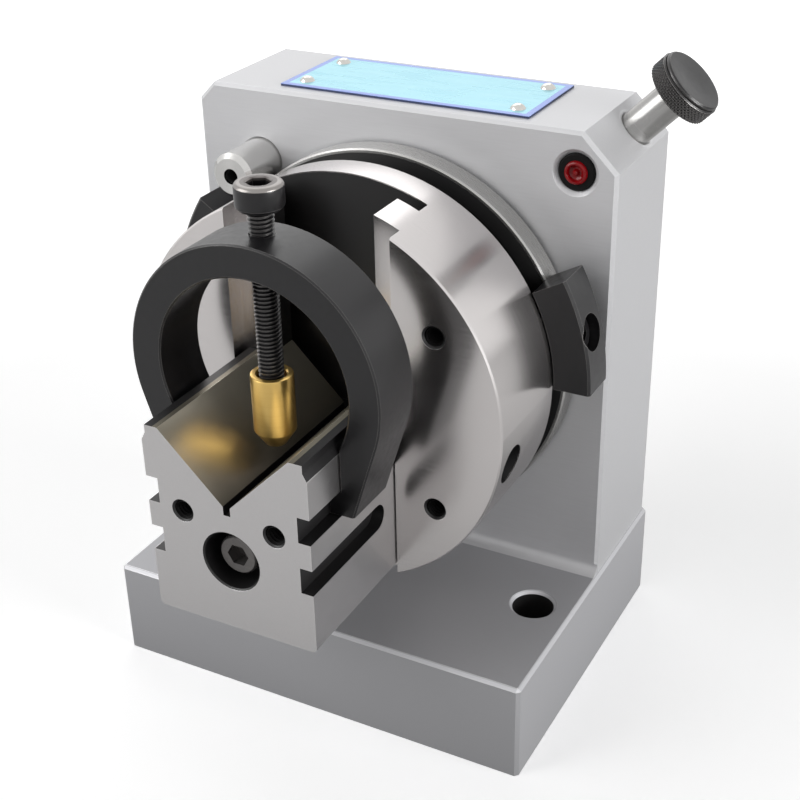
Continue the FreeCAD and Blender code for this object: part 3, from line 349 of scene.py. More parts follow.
lapped_steel, tree, shader = new_finish("lapped_steel", "#C8C6C6", 1.0, 0.34)
lines = grain(tree, (0.4, 9.0, 0.4), detail=1.0)
work(tree, shader, lines, ("#C5C3C3", "#CBC9C9"), (0.31, 0.37), 0.0008)
lay_over(tree, shader, worn_edges(tree, 0.3), "#E2E0DF", 1.0, 0.28)
side, y, z = place_of(tree)
behind_front = band(tree, y, FRONT_Y + 0.02, 0)
above_vee = add(tree, "ShaderNodeMath", {"operation": "SUBTRACT"}, {0: z, 1: side})
in_vee = join(tree, "MULTIPLY", [behind_front, band(tree, side, -1, VEE_HALF),
                                 band(tree, above_vee.outputs["Value"], VEE_APEX - 0.1, 200)])
# Painted reflection: the vee lighter and warmer, as the brass tip above it shows in it.
lay_over(tree, shader, in_vee, "#DDD6C4", 0.95, 0.28)
# Painted shade: the vee darker towards its bottom.
down = add(tree, "ShaderNodeMapRange", {"From Min": (VEE_APEX + 15.5) * MM,
                                        "From Max": VEE_APEX * MM, "To Max": 0.85}, {"Value": z})
lay_over(tree, shader, join(tree, "MULTIPLY", [in_vee, down.outputs["Result"]]), "#27231C", 0.5,
         0.30)
land = join(tree, "MULTIPLY", [behind_front, band(tree, side, VEE_HALF - 0.05, LAND_HALF),
                               band(tree, z, 96, 99)])
lay_over(tree, shader, land, "#8E897B", 0.9, 0.42)
rails = join(tree, "MULTIPLY", [
    band(tree, side, LAND_HALF, BLOCK_SIDE),
    join(tree, "MAXIMUM", [band(tree, z, *rail) for rail in RAILS])])
relief = join(tree, "MULTIPLY", [band(tree, side, -1, 0.97), band(tree, z, 78.2, 80.6)])
lock_bore = band(tree, reach_from(tree, side, z, (0, LOCK_Z)), -1, LOCK_R)
taps = band(tree, reach_from(tree, side, z, (TAP_X, TAP_Z)), -1, TAP_MASK_R)
# Painted shade: rails, relief, lock bore and tapped holes near-black.
dark = join(tree, "MULTIPLY", [behind_front,
                               join(tree, "MAXIMUM", [rails, relief, lock_bore, taps])])
lay_over(tree, shader, dark, "#171617", 0.0, 0.42)
dress(lapped_steel, "v_block")

# %% [markdown]
# The faceplate's rim is turned, and fine rings run round it. Its front is then ground flat, in
# straight lines along X, and these smear what it reflects up and down: the clamp ring before it
# becomes a tall dark shade. The T-slot is black from hardening. The holes and the groove for the
# dogs are painted black as well: painted shade in these recesses.

# %% Turned and ground steel of the faceplate
SLOT_HALF, LEDGE_Y, FACE_Y = 21.8, -39.8, -45.0
GROOVE_Y, BLACK_R = -15.2, 50.2
FACE_TAP_X, FACE_TAP_Z = 33.0, 23.0
SPINDLE_LINE = ((0, 0, SPINDLE_Z), (0, 1, 0))

turned_steel, tree, shader = new_finish("turned_steel_polished", "#D4D0CF", 1.0, 0.26,
                                        Anisotropic=0.6)
rings = turning(tree, shader, 0.5, *SPINDLE_LINE)
side, y, z = place_of(tree)
front = band(tree, y, FACE_Y - 0.1, FACE_Y + 0.02)
pattern = add(tree, "ShaderNodeMix", {"data_type": "FLOAT"},
              {0: front, 2: rings, 3: grain(tree, (9.0, 0.5, 0.4), detail=2.0)})
upright_way = add(tree, "ShaderNodeVectorTransform", {"Vector": (0, 0, 1), "convert_from": "OBJECT",
                                                      "convert_to": "WORLD"})
smear = add(tree, "ShaderNodeMix", {"data_type": "VECTOR"},
            {0: front, 4: shader.inputs["Tangent"].links[0].from_socket,
             5: upright_way.outputs["Vector"]})
tree.links.new(smear.outputs[1], shader.inputs["Tangent"])
work(tree, shader, pattern.outputs[0], ("#CFCBCA", "#DAD6D5"), (0.21, 0.26), 0.00025)
lay_over(tree, shader, worn_edges(tree, 0.3), "#E4E1E0", 1.0, 0.24)
reach = reach_from(tree, side, z, (0, SPINDLE_Z))
slot_walls = join(tree, "MULTIPLY", [band(tree, side, -1, SLOT_HALF), band(tree, y, LEDGE_Y, 0)])
side_hole = join(tree, "MULTIPLY", [band(tree, side, 23, 60), band(tree, y, -42.7, -32.3)])
taps = join(tree, "MULTIPLY", [
    band(tree, y, FACE_Y + 0.02, 0),
    join(tree, "MAXIMUM", [
        band(tree, reach_from(tree, side, z, (FACE_TAP_X, SPINDLE_Z + rise)), -1, TAP_MASK_R)
        for rise in (-FACE_TAP_Z, FACE_TAP_Z)])])
dark = join(tree, "MULTIPLY", [
    band(tree, reach, -1, BLACK_R),
    join(tree, "MAXIMUM", [slot_walls, side_hole, taps, band(tree, y, GROOVE_Y, 0)])])
# The slot walls are blackened; the holes and the dogs' groove get painted shade.
lay_over(tree, shader, dark, "#1B1A1B", 0.0, 0.42)
dress(turned_steel, "faceplate")

# %% [markdown]
# The spindle, the index ring, the stop pin and the plunger are ground round, each about its own
# axis. Fine scratches that run round a pin spread a lamp's image along it, and that bright streak
# is what makes it look round and turned. So each axis gets its own finish, made in one loop.

# %% Round-ground steel
PLUNGER_WAY = (math.sqrt(0.5), 0.0, math.sqrt(0.5))
PLUNGER_FOOT = (0, 23, SPINDLE_Z)
PIN_PLACE = (-40.517, -14.8, 130.517)

round_steel = {}
for name, centre, axis, colours, smooth in (
        ("ground_round_spindle", *SPINDLE_LINE, ("#AEADAB", "#B8B7B5"), 0.26),
        ("ground_round_stop_pin", PIN_PLACE, (0, 1, 0), ("#C9C8C6", "#D0CFCD"), 0.18),
        ("ground_round_plunger", PLUNGER_FOOT, PLUNGER_WAY, ("#A9A8A6", "#B2B1AF"), 0.24)):
    material, tree, shader = new_finish(name, "#B3B2B0", 1.0, smooth, Anisotropic=0.85)
    rings = turning(tree, shader, 0.3, centre, axis)
    work(tree, shader, rings, colours, (smooth, smooth + 0.04), 0.0001)
    lay_over(tree, shader, worn_edges(tree, 0.2), "#E6E5E3", 1.0, 0.20)
    side, y, z = place_of(tree)
    reach = reach_from(tree, side, z, (0, SPINDLE_Z))
    # Painted shade: near-black where these pieces lie in the dogs' groove behind the faceplate.
    groove = join(tree, "MULTIPLY", [band(tree, reach, -1, 50.0), band(tree, y, -15.5, -4.45)])
    lay_over(tree, shader, groove, "#161516", 0.0, 0.42)
    round_steel[name] = material
dress(round_steel["ground_round_spindle"], "spindle", "index_ring", "index_key", "dial_washer",
      "grip_pin")
dress(round_steel["ground_round_stop_pin"], "stop_pin")
dress(round_steel["ground_round_plunger"], "plunger")

# %% [markdown]
# Screws, dogs and the clamp ring are blackened: a bath turns the steel's skin to black oxide,
# which is then oiled. It is a thin dark layer, satin, a little uneven, and light along worn edges.
# The lock screw is lighter grey and more metallic. The threads in the holes and the oil point's
# ring are near-black and matt: painted shade in these recesses, over the ring's own black.

# %% Black oxide
black_oxide, tree, shader = new_finish("black_oxide_oiled", "#161517", 0.0, 0.32,
                                       Specular_IOR_Level=0.5)
cloud = grain(tree, (1.6, 1.6, 1.6), detail=4.0)
work(tree, shader, cloud, ("#121113", "#1B1A1C"), (0.28, 0.36), 0.001)
lay_over(tree, shader, worn_edges(tree, 0.25), "#8C8987", 0.7, 0.28)

oxide_lighter, tree, shader = new_finish("black_oxide_lighter", "#6E6B69", 0.6, 0.32)
work(tree, shader, grain(tree, (0.8, 0.8, 0.8)), ("#625F5E", "#7B7876"), (0.28, 0.38), 0.001)
dress(oxide_lighter, "lock_screw")

# Painted shade: near-black matt for the threads in the holes and the oil point's ring.
recess_shade_black, tree, shader = new_finish("black_matt_recess_shade", "#0C0B0B", 0.0, 0.6,
                                  Specular_IOR_Level=0.15)
work(tree, shader, grain(tree, (0.6, 0.6, 0.6)), ("#0A0909", "#100F0F"), (0.55, 0.65), 0.002)
dress(recess_shade_black, "oil_ring")
dress(black_oxide, "cover_screws", "stop_grub", "flange_screws", "side_set_screw",
      "lock_nut", "dial_set_screw", "dial_screw", "right_dog", "right_dog_screw",
      "right_dog_nut", "left_dog", "left_dog_screw", "left_dog_nut", "t_plate", "clamp_ring")

# %% [markdown]
# The bushes are bronze, and the tip that presses on the work is brass, so that it doesn't mark it.
# Brass is yellower and turned bright.

# %% Bronze and brass
bronze, tree, shader = new_finish("turned_bronze", "#A87848", 1.0, 0.30)
work(tree, shader, grain(tree, (2.0, 0.5, 2.0)), ("#9C6E40", "#B4844F"), (0.24, 0.36), 0.004)
dress(bronze, "front_bush", "rear_bush")

SCREW_Y = -62.0

brass, tree, shader = new_finish("turned_brass", "#D9B96E", 0.92, 0.30, Anisotropic=0.5)
rings = turning(tree, shader, 0.4, (0, SCREW_Y, 0), (0, 0, 1))
work(tree, shader, rings, ("#D6B164", "#E0BF76"), (0.28, 0.32), 0.0001)
dress(brass, "clamp_tip")

# %% [markdown]
# Springs are drawn wire, grey and a little rough along the wire.

# %% Spring wire
spring_wire, tree, shader = new_finish("drawn_spring_wire", "#8C8C90", 1.0, 0.32)
work(tree, shader, grain(tree, (0.3, 0.3, 1.5)), ("#7E7E82", "#9A9A9E"), (0.26, 0.40), 0.004)
dress(spring_wire, "plunger_spring", "tip_ring")

# %% [markdown]
# The plate on top is thin aluminium, printed pale blue with a darker border. It is bare here: only
# the two printed colours, the sheen of the metal through the ink and a faint brushing along X. Its
# sides are painted dark: painted shade along its edges.

# %% Printed plate with its rivets
PLATE_EDGE = 1.6
plate_low, plate_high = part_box("name_plate")
plate_middle = (plate_low + plate_high) / 2
plate_half = (plate_high - plate_low) / 2

printed_plate, tree, shader = new_finish("printed_aluminium", "#A8E4F2", 0.35, 0.28)
brushing = grain(tree, (14.0, 3.0, 0.3), detail=1.0)
colour = work(tree, shader, brushing, ("#8FDCF0", "#BDEFF8"), (0.24, 0.34), 0.001)
where = add(tree, "ShaderNodeTexCoord")
centred = add(tree, "ShaderNodeVectorMath", {"operation": "SUBTRACT", 1: plate_middle},
              {0: where.outputs["Object"]})
parts = add(tree, "ShaderNodeSeparateXYZ", links={"Vector": centred.outputs["Vector"]})
border = None
for axis, half in (("X", plate_half.x), ("Y", plate_half.y)):
    off = add(tree, "ShaderNodeMath", {"operation": "ABSOLUTE"}, {0: parts.outputs[axis]})
    past = add(tree, "ShaderNodeMath", {"operation": "GREATER_THAN", 1: half - PLATE_EDGE * MM},
               {0: off.outputs["Value"]})
    if border is None:
        border = past
    else:
        border = add(tree, "ShaderNodeMath", {"operation": "MAXIMUM"},
                     {0: border.outputs["Value"], 1: past.outputs["Value"]})
colour = add(tree, "ShaderNodeMix", {"data_type": "RGBA", 7: linear("#8FA6EA")},
             {0: border.outputs["Value"], 6: colour.outputs[2]})
tree.links.new(colour.outputs[2], shader.inputs["Base Color"])
side, y, z = place_of(tree)
# Painted shade: the plate's sides below its top are painted dark.
edge = band(tree, z, 0, plate_high.z / MM - 0.1)
lay_over(tree, shader, edge, "#3A4466", 0.3, 0.4)
dress(printed_plate, "name_plate")

rivet_metal, tree, shader = new_finish("nickel_plated_rivets", "#D2D0CB", 1.0, 0.16)
work(tree, shader, grain(tree, (0.8, 0.8, 0.8)), ("#C8C6C1", "#DAD8D3"), (0.12, 0.22), 0.003)
dress(rivet_metal, "plate_rivets")

# %% [markdown]
# The oil plug is red moulded plastic, deep in colour and shiny, and the grip is black moulded
# plastic with a fine texture that hides finger marks.

# %% Moulded plastics
red_plastic, tree, shader = new_finish("moulded_plastic_red", "#8C0B11", 0.0, 0.10,
                                       Specular_IOR_Level=0.3)
work(tree, shader, grain(tree, (1.2, 1.2, 1.2)), ("#6E070C", "#A81018"), (0.08, 0.14), 0.002)
dress(red_plastic, "oil_plug")

black_plastic, tree, shader = new_finish("moulded_plastic_black", "#1E1E20", 0.0, 0.45)
work(tree, shader, grain(tree, (0.5, 0.5, 0.5)), ("#1A1A1C", "#262628"), (0.40, 0.52), 0.020)
dress(black_plastic, "grip")

# %% [markdown]
# The dial is steel with a satin chrome layer, so that its black lines are easy to read without
# glare.

# %% Satin chrome of the dial
satin_chrome, tree, shader = new_finish("satin_chrome", "#C6C8CA", 1.0, 0.34,
                                        Anisotropic=0.4)
rings = turning(tree, shader, 0.4, *SPINDLE_LINE)
work(tree, shader, rings, ("#C0C2C4", "#CCCED0"), (0.30, 0.38), 0.0002)
dress(satin_chrome, "hand_dial")

# %% [markdown]
# New pieces are made as bmesh shapes about the Z axis, where a lathe would turn them, and then laid
# where they belong. One function closes a bmesh into an object at the origin with its place in its
# mesh, gives it its finish, and says which CAD body it rides on.
# Faces are shaded smooth, except across edges sharper than 32 degrees, which stay crisp.

# %% Making a piece
SHARP_FROM = math.radians(32)


def finished(bm, name, material, body, place=None):
    """Turns a bmesh into a piece: merged, facing outwards, placed, dressed and riding."""
    bmesh.ops.remove_doubles(bm, verts=bm.verts, dist=0.0005 * MM)
    bmesh.ops.recalc_face_normals(bm, faces=bm.faces)
    bmesh.ops.transform(bm, matrix=place or Matrix.Identity(4), verts=bm.verts)
    mesh = bpy.data.meshes.new(name)
    bm.to_mesh(mesh)
    bm.free()
    mesh.shade_smooth()
    mesh.set_sharp_from_angle(angle=SHARP_FROM)
    mesh.materials.append(material)
    piece = bpy.data.objects.new(name, mesh)
    bpy.context.scene.collection.objects.link(piece)
    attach(piece, body)
    print(name, "faces:", len(mesh.polygons))
    return piece


def facing(start, direction):
    """A matrix that carries the Z axis to a start point and a direction."""
    turn = Vector((0, 0, 1)).rotation_difference(Vector(direction))
    return Matrix.Translation(start) @ turn.to_matrix().to_4x4()


def outline_edges(bm, outline):
    """An open outline of (radius, height) in millimetres, in the XZ plane."""
    corners = [bm.verts.new((r * MM, 0, h * MM)) for r, h in outline]
    return corners, [bm.edges.new(pair) for pair in zip(corners, corners[1:])]


def lathe(bm, outline, steps):
    """Turns an outline a full turn round the Z axis."""
    corners, edges = outline_edges(bm, outline)
    bmesh.ops.spin(bm, geom=corners + edges, cent=(0, 0, 0), axis=(0, 0, 1),
                   angle=math.tau, steps=steps, use_merge=True)
    bmesh.ops.remove_doubles(bm, verts=bm.verts, dist=0.0005 * MM)


# %% [markdown]
# A screw thread is one small profile, a root and a crest, carried round the axis while it climbs
# one pitch per turn. Spinning the profile with a climb at each step makes exactly that. The last
# corner of a turn meets the first corner of the next, so merging them closes the surface. The two
# ends are then cut square and closed.

# %% Outside thread
PITCH = 1.0
THREAD_STEPS = 28
CREST_R, ROOT_R = 3.0, 2.42


def climb(bm, outline, pitch, start, stop):
    """Spins an outline of one pitch up from start to stop, and cuts both ends square."""
    corners, edges = outline_edges(bm, [(r, start - pitch + h) for r, h in outline])
    turns = math.ceil((stop - start) / pitch) + 2
    bmesh.ops.spin(bm, geom=corners + edges, cent=(0, 0, 0), axis=(0, 0, 1),
                   dvec=(0, 0, pitch * MM / THREAD_STEPS), angle=math.tau * turns,
                   steps=THREAD_STEPS * turns)
    bmesh.ops.remove_doubles(bm, verts=bm.verts, dist=0.001 * MM)
    rims = []
    for height, side in ((start, -1), (stop, 1)):
        bmesh.ops.bisect_plane(bm, geom=bm.verts[:] + bm.edges[:] + bm.faces[:],
                               plane_co=(0, 0, height * MM), plane_no=(0, 0, side),
                               clear_outer=True)
        rims.append([e for e in bm.edges if e.is_boundary
                     and all(abs(v.co.z - height * MM) < 1e-7 for v in e.verts)])
    return rims


def threaded_shank(bm, crest_r, root_r, pitch, start, stop):
    """A closed threaded bar along Z."""
    outline = [(root_r, 0), (root_r, pitch / 4), (crest_r, pitch * 9 / 16),
               (crest_r, pitch * 11 / 16), (root_r, pitch)]
    for rim in climb(bm, outline, pitch, start, stop):
        bmesh.ops.contextual_create(bm, geom=rim)


# %% [markdown]
# The clamp screw's head is turned, with a well rounded rim, then a hexagon is pressed into it. Here
# the turned outline stops at the mouth of the socket, a hexagon is bridged to that mouth and drawn
# down, and its floor is closed. The top is painted lighter and its rim lighter still: a painted
# highlight. The plain nose below the thread is hidden in the brass tip.

# %% Clamp screw
NECK_Z, HEAD_Z, HEAD_TOP = 101.2, 144.7, 150.9
HEAD_R, SOCKET_R, SOCKET_MOUTH, SOCKET_DEPTH = 5.6, 2.89, 3.15, 4.0
HEAD_ROUND = 1.1
FOOT_BEVEL, FOOT_STEP = 0.8, 0.12
TURN_STEPS = 64


def socket_head(bm, head_r, low, top):
    """A round head with a hexagon socket, open at its underside's centre."""
    centre = (head_r - HEAD_ROUND, top - HEAD_ROUND)
    rounding = [(centre[0] + HEAD_ROUND * math.cos(math.radians(a)),
                 centre[1] + HEAD_ROUND * math.sin(math.radians(a))) for a in range(0, 91, 15)]
    lathe(bm, [(0, low), (head_r - FOOT_STEP - FOOT_BEVEL, low),
               (head_r - FOOT_STEP, low + FOOT_BEVEL), (head_r - FOOT_STEP, low + FOOT_BEVEL + 0.3),
               (head_r, low + FOOT_BEVEL + 0.5)] + rounding + [(SOCKET_MOUTH, top)], TURN_STEPS)
    mouth = [e for e in bm.edges if e.is_boundary]
    hexagon = bmesh.ops.create_circle(bm, segments=6, radius=SOCKET_R * MM)["verts"]
    bmesh.ops.translate(bm, verts=hexagon, vec=(0, 0, (top - 0.25) * MM))
    sides = [e for e in bm.edges if e.verts[0] in hexagon and e.verts[1] in hexagon]
    bmesh.ops.bridge_loops(bm, edges=mouth + sides)
    drawn = bmesh.ops.extrude_edge_only(bm, edges=sides)["geom"]
    floor = [v for v in drawn if isinstance(v, bmesh.types.BMVert)]
    bmesh.ops.translate(bm, verts=floor, vec=(0, 0, (0.25 - SOCKET_DEPTH) * MM))
    bmesh.ops.contextual_create(bm, geom=[e for e in drawn if isinstance(e, bmesh.types.BMEdge)])


black_screw = black_oxide.copy()
black_screw.name = "black_oxide_screw_painted_highlight"
tree = black_screw.node_tree
side, y, z = place_of(tree)
head_top_highlight = band(tree, z, HEAD_TOP - 0.8, HEAD_TOP + 0.1)
rim_highlight = band(tree, reach_from(tree, side, y, (0, SCREW_Y)), HEAD_R - 1.5, HEAD_R + 0.1)
# Painted highlight: the top of the head lighter, and its outer rim lighter still.
lay_over(tree, tree.nodes["Principled BSDF"], head_top_highlight, "#6B6664", 0.6, 0.34)
lay_over(tree, tree.nodes["Principled BSDF"], join(tree, "MULTIPLY", [head_top_highlight, rim_highlight]),
         "#94908D", 0.8, 0.30)

bm = bmesh.new()
threaded_shank(bm, CREST_R, ROOT_R, PITCH, NECK_Z, HEAD_Z)
socket_head(bm, HEAD_R, HEAD_Z, HEAD_TOP)
screw = finished(bm, "clamp_screw_threaded", black_screw, "clamp_screw_body",
                 Matrix.Translation(point(0, SCREW_Y, 0)))
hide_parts("clamp_screw")

# %% [markdown]
# A diamond knurl is rolled into the knob's rim so that the fingers don't slip. Its pyramids stand
# in rows that are offset by half a step. The rim is turned with many fine steps and rows, every
# second corner is lifted in a chessboard order, and the faces are split along the valleys, which
# leaves pyramids with clean diagonal grooves.

# %% Plunger knob
UPRIGHT_WIDTH, HOUSING_HIGH, CORNER_CUT, PLUNGER_OUT = 118.2, 150.0, 9.2, 13.7
KNOB_START = ((UPRIGHT_WIDTH / 2 + HOUSING_HIGH - CORNER_CUT - SPINDLE_Z) / math.sqrt(2)
              + PLUNGER_OUT)
KNOB_R, KNOB_CAP_R, KNURL_DEPTH = 9.0, 8.5, 0.42
KNURL_LOW, KNURL_HIGH, KNURL_ROWS, KNURL_COLUMNS = 0.4, 4.3, 7, 96


def lift_knurl(bm, radius, depth, low, step, columns):
    """Lifts every second corner of a fine rim and splits it along the valleys."""
    rim = []
    for vert in bm.verts:
        away = math.hypot(vert.co.x, vert.co.y)
        row = round((vert.co.z / MM - low) / step)
        if abs(away - (radius - depth) * MM) < 1e-6 and 0 <= row:
            rim.append(vert)
            column = round(math.atan2(vert.co.y, vert.co.x) / math.tau * columns)
            if (row + column) % 2 == 0:
                vert.co.xy *= radius * MM / away
    faces = [f for f in bm.faces if all(v in rim for v in f.verts)]
    bmesh.ops.triangulate(bm, faces=faces, quad_method="SHORT_EDGE")


knurl_step = (KNURL_HIGH - KNURL_LOW) / KNURL_ROWS
knurl_floor = KNOB_R - KNURL_DEPTH
rows = [(knurl_floor, KNURL_LOW + i * knurl_step) for i in range(KNURL_ROWS + 1)]
bm = bmesh.new()
lathe(bm, [(0, 4.3), (3.0, 4.3), (3.0, 0), (8.3, 0)] + rows
      + [(KNOB_R - 0.05, 4.35), (8.6, 4.7), (8.2, 4.7), (8.2, 5.1), (KNOB_CAP_R, 5.1),
         (KNOB_CAP_R, 5.4), (KNOB_CAP_R - 0.4, 5.8), (7.2, 5.8), (3.6, 5.3), (0, 5.3)],
      KNURL_COLUMNS)
lift_knurl(bm, KNOB_R, KNURL_DEPTH, KNURL_LOW, knurl_step, KNURL_COLUMNS)
plunger_way, plunger_line = Vector(PLUNGER_WAY), point(*PLUNGER_FOOT)
knob = finished(bm, "plunger_knob_knurled", black_oxide, "plunger_body",
                facing(plunger_line + plunger_way * KNOB_START * MM, plunger_way))
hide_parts("plunger_knob")

# %% [markdown]
# Inside the housing a coil spring pushes the plunger into its notch. It is a round wire, wound by
# spinning a small circle while it climbs. When the knob is pulled, the plunger's collar presses the
# coils together against the sleeve.

# %% Plunger spring
WIRE_R, COIL_R, COILS, COIL_STEPS = 0.45, 4.8, 6, 24
SPRING_LOW, SPRING_HIGH, PULL = 44.8, 60.0, 6.0

bm = bmesh.new()
upright_circle = Matrix.Translation(point(COIL_R, 0, WIRE_R)) @ Matrix.Rotation(math.pi / 2, 4, "X")
wire = bmesh.ops.create_circle(bm, segments=10, radius=WIRE_R * MM, matrix=upright_circle)["verts"]
loop = [e for e in bm.edges if e.verts[0] in wire]
wound = bmesh.ops.spin(bm, geom=wire + loop, cent=(0, 0, 0), axis=(0, 0, 1),
                       dvec=(0, 0, (SPRING_HIGH - SPRING_LOW - 2 * WIRE_R) * MM
                             / (COILS * COIL_STEPS)),
                       angle=math.tau * COILS, steps=COILS * COIL_STEPS)
for end in (loop, [e for e in wound["geom_last"] if isinstance(e, bmesh.types.BMEdge)]):
    bmesh.ops.contextual_create(bm, geom=end)
spring = finished(bm, "plunger_spring_wound", spring_wire, "frame",
                  facing(plunger_line + plunger_way * SPRING_LOW * MM, plunger_way))
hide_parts("plunger_spring")
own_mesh(spring)

# %% [markdown]
# Two turned pieces shine and lie in full view: the brass tip and the stop pin. The CAD meshes of
# such thin pieces have few sides, and a shiny surface shows each one. So the same outlines are
# turned again here with many more steps, with their edges broken a little.

# %% Brass tip and stop pin
FINE_STEPS = 96
TIP_LOW, TIP_TOP = 86.4, 104.7
PIN_LEN, PIN_R, PIN_RIM, PIN_BORE_R = 32.0, 6.0, 1.2, 2.1

bm = bmesh.new()
lathe(bm, [(0, TIP_LOW), (2.45, TIP_LOW), (2.6, TIP_LOW + 0.1), (5.0, TIP_LOW + 3.65),
           (5.1, TIP_LOW + 3.95), (5.1, TIP_TOP - 0.4), (4.98, TIP_TOP - 0.12), (4.7, TIP_TOP),
           (3.85, TIP_TOP), (3.45, TIP_TOP - 0.4), (3.45, TIP_TOP - 3.6), (2.55, TIP_TOP - 3.6),
           (2.55, TIP_LOW + 5.5), (0, TIP_LOW + 5.5)], FINE_STEPS)
tip = finished(bm, "brass_tip", brass, "tip_body",
               Matrix.Translation(point(0, SCREW_Y, 0)))
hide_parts("clamp_tip")

bm = bmesh.new()
lathe(bm, [(0, 10.0), (PIN_BORE_R, 10.0), (PIN_BORE_R, 0), (PIN_R - PIN_RIM, 0), (PIN_R, PIN_RIM),
           (PIN_R, PIN_LEN - PIN_RIM), (PIN_R - PIN_RIM, PIN_LEN), (0, PIN_LEN)], FINE_STEPS)
pin = finished(bm, "stop_pin_turned", round_steel["ground_round_stop_pin"], "stop_pin_body",
               facing(point(*PIN_PLACE), (0, 1, 0)))
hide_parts("stop_pin")

# %% [markdown]
# The oil plug is a moulded cap with a raised rim, a dish, and a small knob in its middle. Light
# runs round the rim and leaves the dish deep red.

# %% Oil plug
PLUG_X, PLUG_Z = 48.4, 139.8

bm = bmesh.new()
lathe(bm, [(0, -0.1), (0.45, 0.0), (0.7, 0.3), (0.9, 0.75), (1.3, 0.8), (1.75, 0.5), (1.95, -0.1),
           (2.15, -0.4), (2.45, -0.45), (2.75, -0.25), (2.95, 0.2), (3.0, 0.6), (3.0, 6.0), (0, 6.0)],
      FINE_STEPS)
plug = finished(bm, "oil_plug_moulded", red_plastic, "frame",
                facing(point(PLUG_X, 0, PLUG_Z), (0, 1, 0)))
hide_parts("oil_plug")

# %% [markdown]
# Tapped holes show the crests of their thread as fine rings inside. An inside thread is made as the
# outside one, with its crests towards the axis, and given a little thickness so that it is a
# closed shell that sits against the hole's wall.

# %% Threads in the tapped holes
THREAD_WALL = 0.12
THREAD_START, THREAD_DEPTH = 0.55, 9.0
TAP_R, PIN_TAP_DEPTH, PIN_PITCH = 2.5, 8.0, 0.8


def hole_thread(bm, hole_r, depth, place, pitch=PITCH):
    """Adds an inside thread along a hole that starts at a place."""
    part = bmesh.new()
    crest_r = hole_r - 0.32
    outline = [(hole_r, 0), (crest_r, pitch * 7 / 16), (crest_r, pitch * 9 / 16),
               (hole_r, pitch)]
    climb(part, outline, pitch, THREAD_START, depth)
    bmesh.ops.recalc_face_normals(part, faces=part.faces)
    bmesh.ops.reverse_faces(part, faces=part.faces)
    bmesh.ops.solidify(part, geom=part.faces[:], thickness=THREAD_WALL * MM)
    bmesh.ops.transform(part, matrix=place, verts=part.verts)
    mesh = bpy.data.meshes.new("part")
    part.to_mesh(mesh)
    part.free()
    bm.from_mesh(mesh)
    bpy.data.meshes.remove(mesh)


# The threads take the near-black matt finish: painted shade in the holes.
bm = bmesh.new()
for x in (-FACE_TAP_X, FACE_TAP_X):
    for rise in (-FACE_TAP_Z, FACE_TAP_Z):
        hole_thread(bm, TAP_R, THREAD_DEPTH,
                    facing(point(x, FACE_Y, SPINDLE_Z + rise), (0, 1, 0)))
finished(bm, "faceplate_threads", recess_shade_black, "spindle_head")

bm = bmesh.new()
for x in (-TAP_X, TAP_X):
    hole_thread(bm, TAP_R, THREAD_DEPTH, facing(point(x, FRONT_Y, TAP_Z), (0, 1, 0)))
finished(bm, "block_threads", recess_shade_black, "block_body")

bm = bmesh.new()
hole_thread(bm, PIN_BORE_R, PIN_TAP_DEPTH, facing(point(*PIN_PLACE), (0, 1, 0)),
            pitch=PIN_PITCH)
finished(bm, "stop_pin_thread", recess_shade_black, "stop_pin_body")

# %% [markdown]
# The dial is turned by hand through its knurled rim, and its lines are read against a mark on the
# cover. One turn is 360 degrees: a short line every 5, a longer one every 15, where the index ring
# has a notch, and a number every 30. The lines are thin bars of black filler in the rim. The
# numbers are text that is turned to a mesh and laid on the rim.

# %% Dial: knurl, lines and numbers
DIAL_R, DIAL_FRONT = 38.0, 47.4
LINE_W, LINE_DEEP, LINE_PROUD = 0.22, 0.3, 0.02
DIAL_KNURL_LOW, DIAL_KNURL_HIGH, DIAL_TEETH = 52.3, 55.2, 180
NUMBER_SIZE = 2.0

black_filler, tree, shader = new_finish("black_line_filler", "#161618", 0.0, 0.55)
work(tree, shader, grain(tree, (0.3, 0.3, 0.3)), ("#121214", "#1E1E20"), (0.50, 0.62), 0.004)


def on_rim(angle, y):
    """A matrix whose X runs round the dial, Y to the back and Z outwards, at an angle."""
    a = math.radians(angle)
    outwards = Vector((math.sin(a), 0, math.cos(a)))
    round_way = Vector((0, 1, 0)).cross(outwards)
    axes = Matrix((round_way, Vector((0, 1, 0)), outwards)).transposed().to_4x4()
    return Matrix.Translation(point(0, y, SPINDLE_Z) + outwards * DIAL_R * MM) @ axes


bm = bmesh.new()
for degrees in range(0, 360, 5):
    length = 2.8 if degrees % 15 == 0 else 1.6
    size = Matrix.Diagonal((LINE_W * MM, length * MM, LINE_DEEP * MM, 1))
    sink = Matrix.Translation(point(0, length / 2, LINE_PROUD - LINE_DEEP / 2))
    bmesh.ops.create_cube(bm, size=1.0, matrix=on_rim(degrees, DIAL_FRONT) @ sink @ size)
finished(bm, "dial_lines", black_filler, "spindle_head")

bm = bmesh.new()
for degrees in range(0, 360, 30):
    text = bpy.data.curves.new("number", "FONT")
    text.body = str(degrees)
    text.size = NUMBER_SIZE * MM
    text.align_x = "CENTER"
    text.extrude = 0.04 * MM
    letter = bpy.data.objects.new("number", text)
    mesh = bpy.data.meshes.new_from_object(letter)
    mesh.transform(on_rim(degrees, DIAL_FRONT + 3.2))
    bm.from_mesh(mesh)
    for block, kind in ((mesh, bpy.data.meshes), (letter, bpy.data.objects),
                        (text, bpy.data.curves)):
        kind.remove(block)
finished(bm, "dial_numbers", black_filler, "spindle_head")

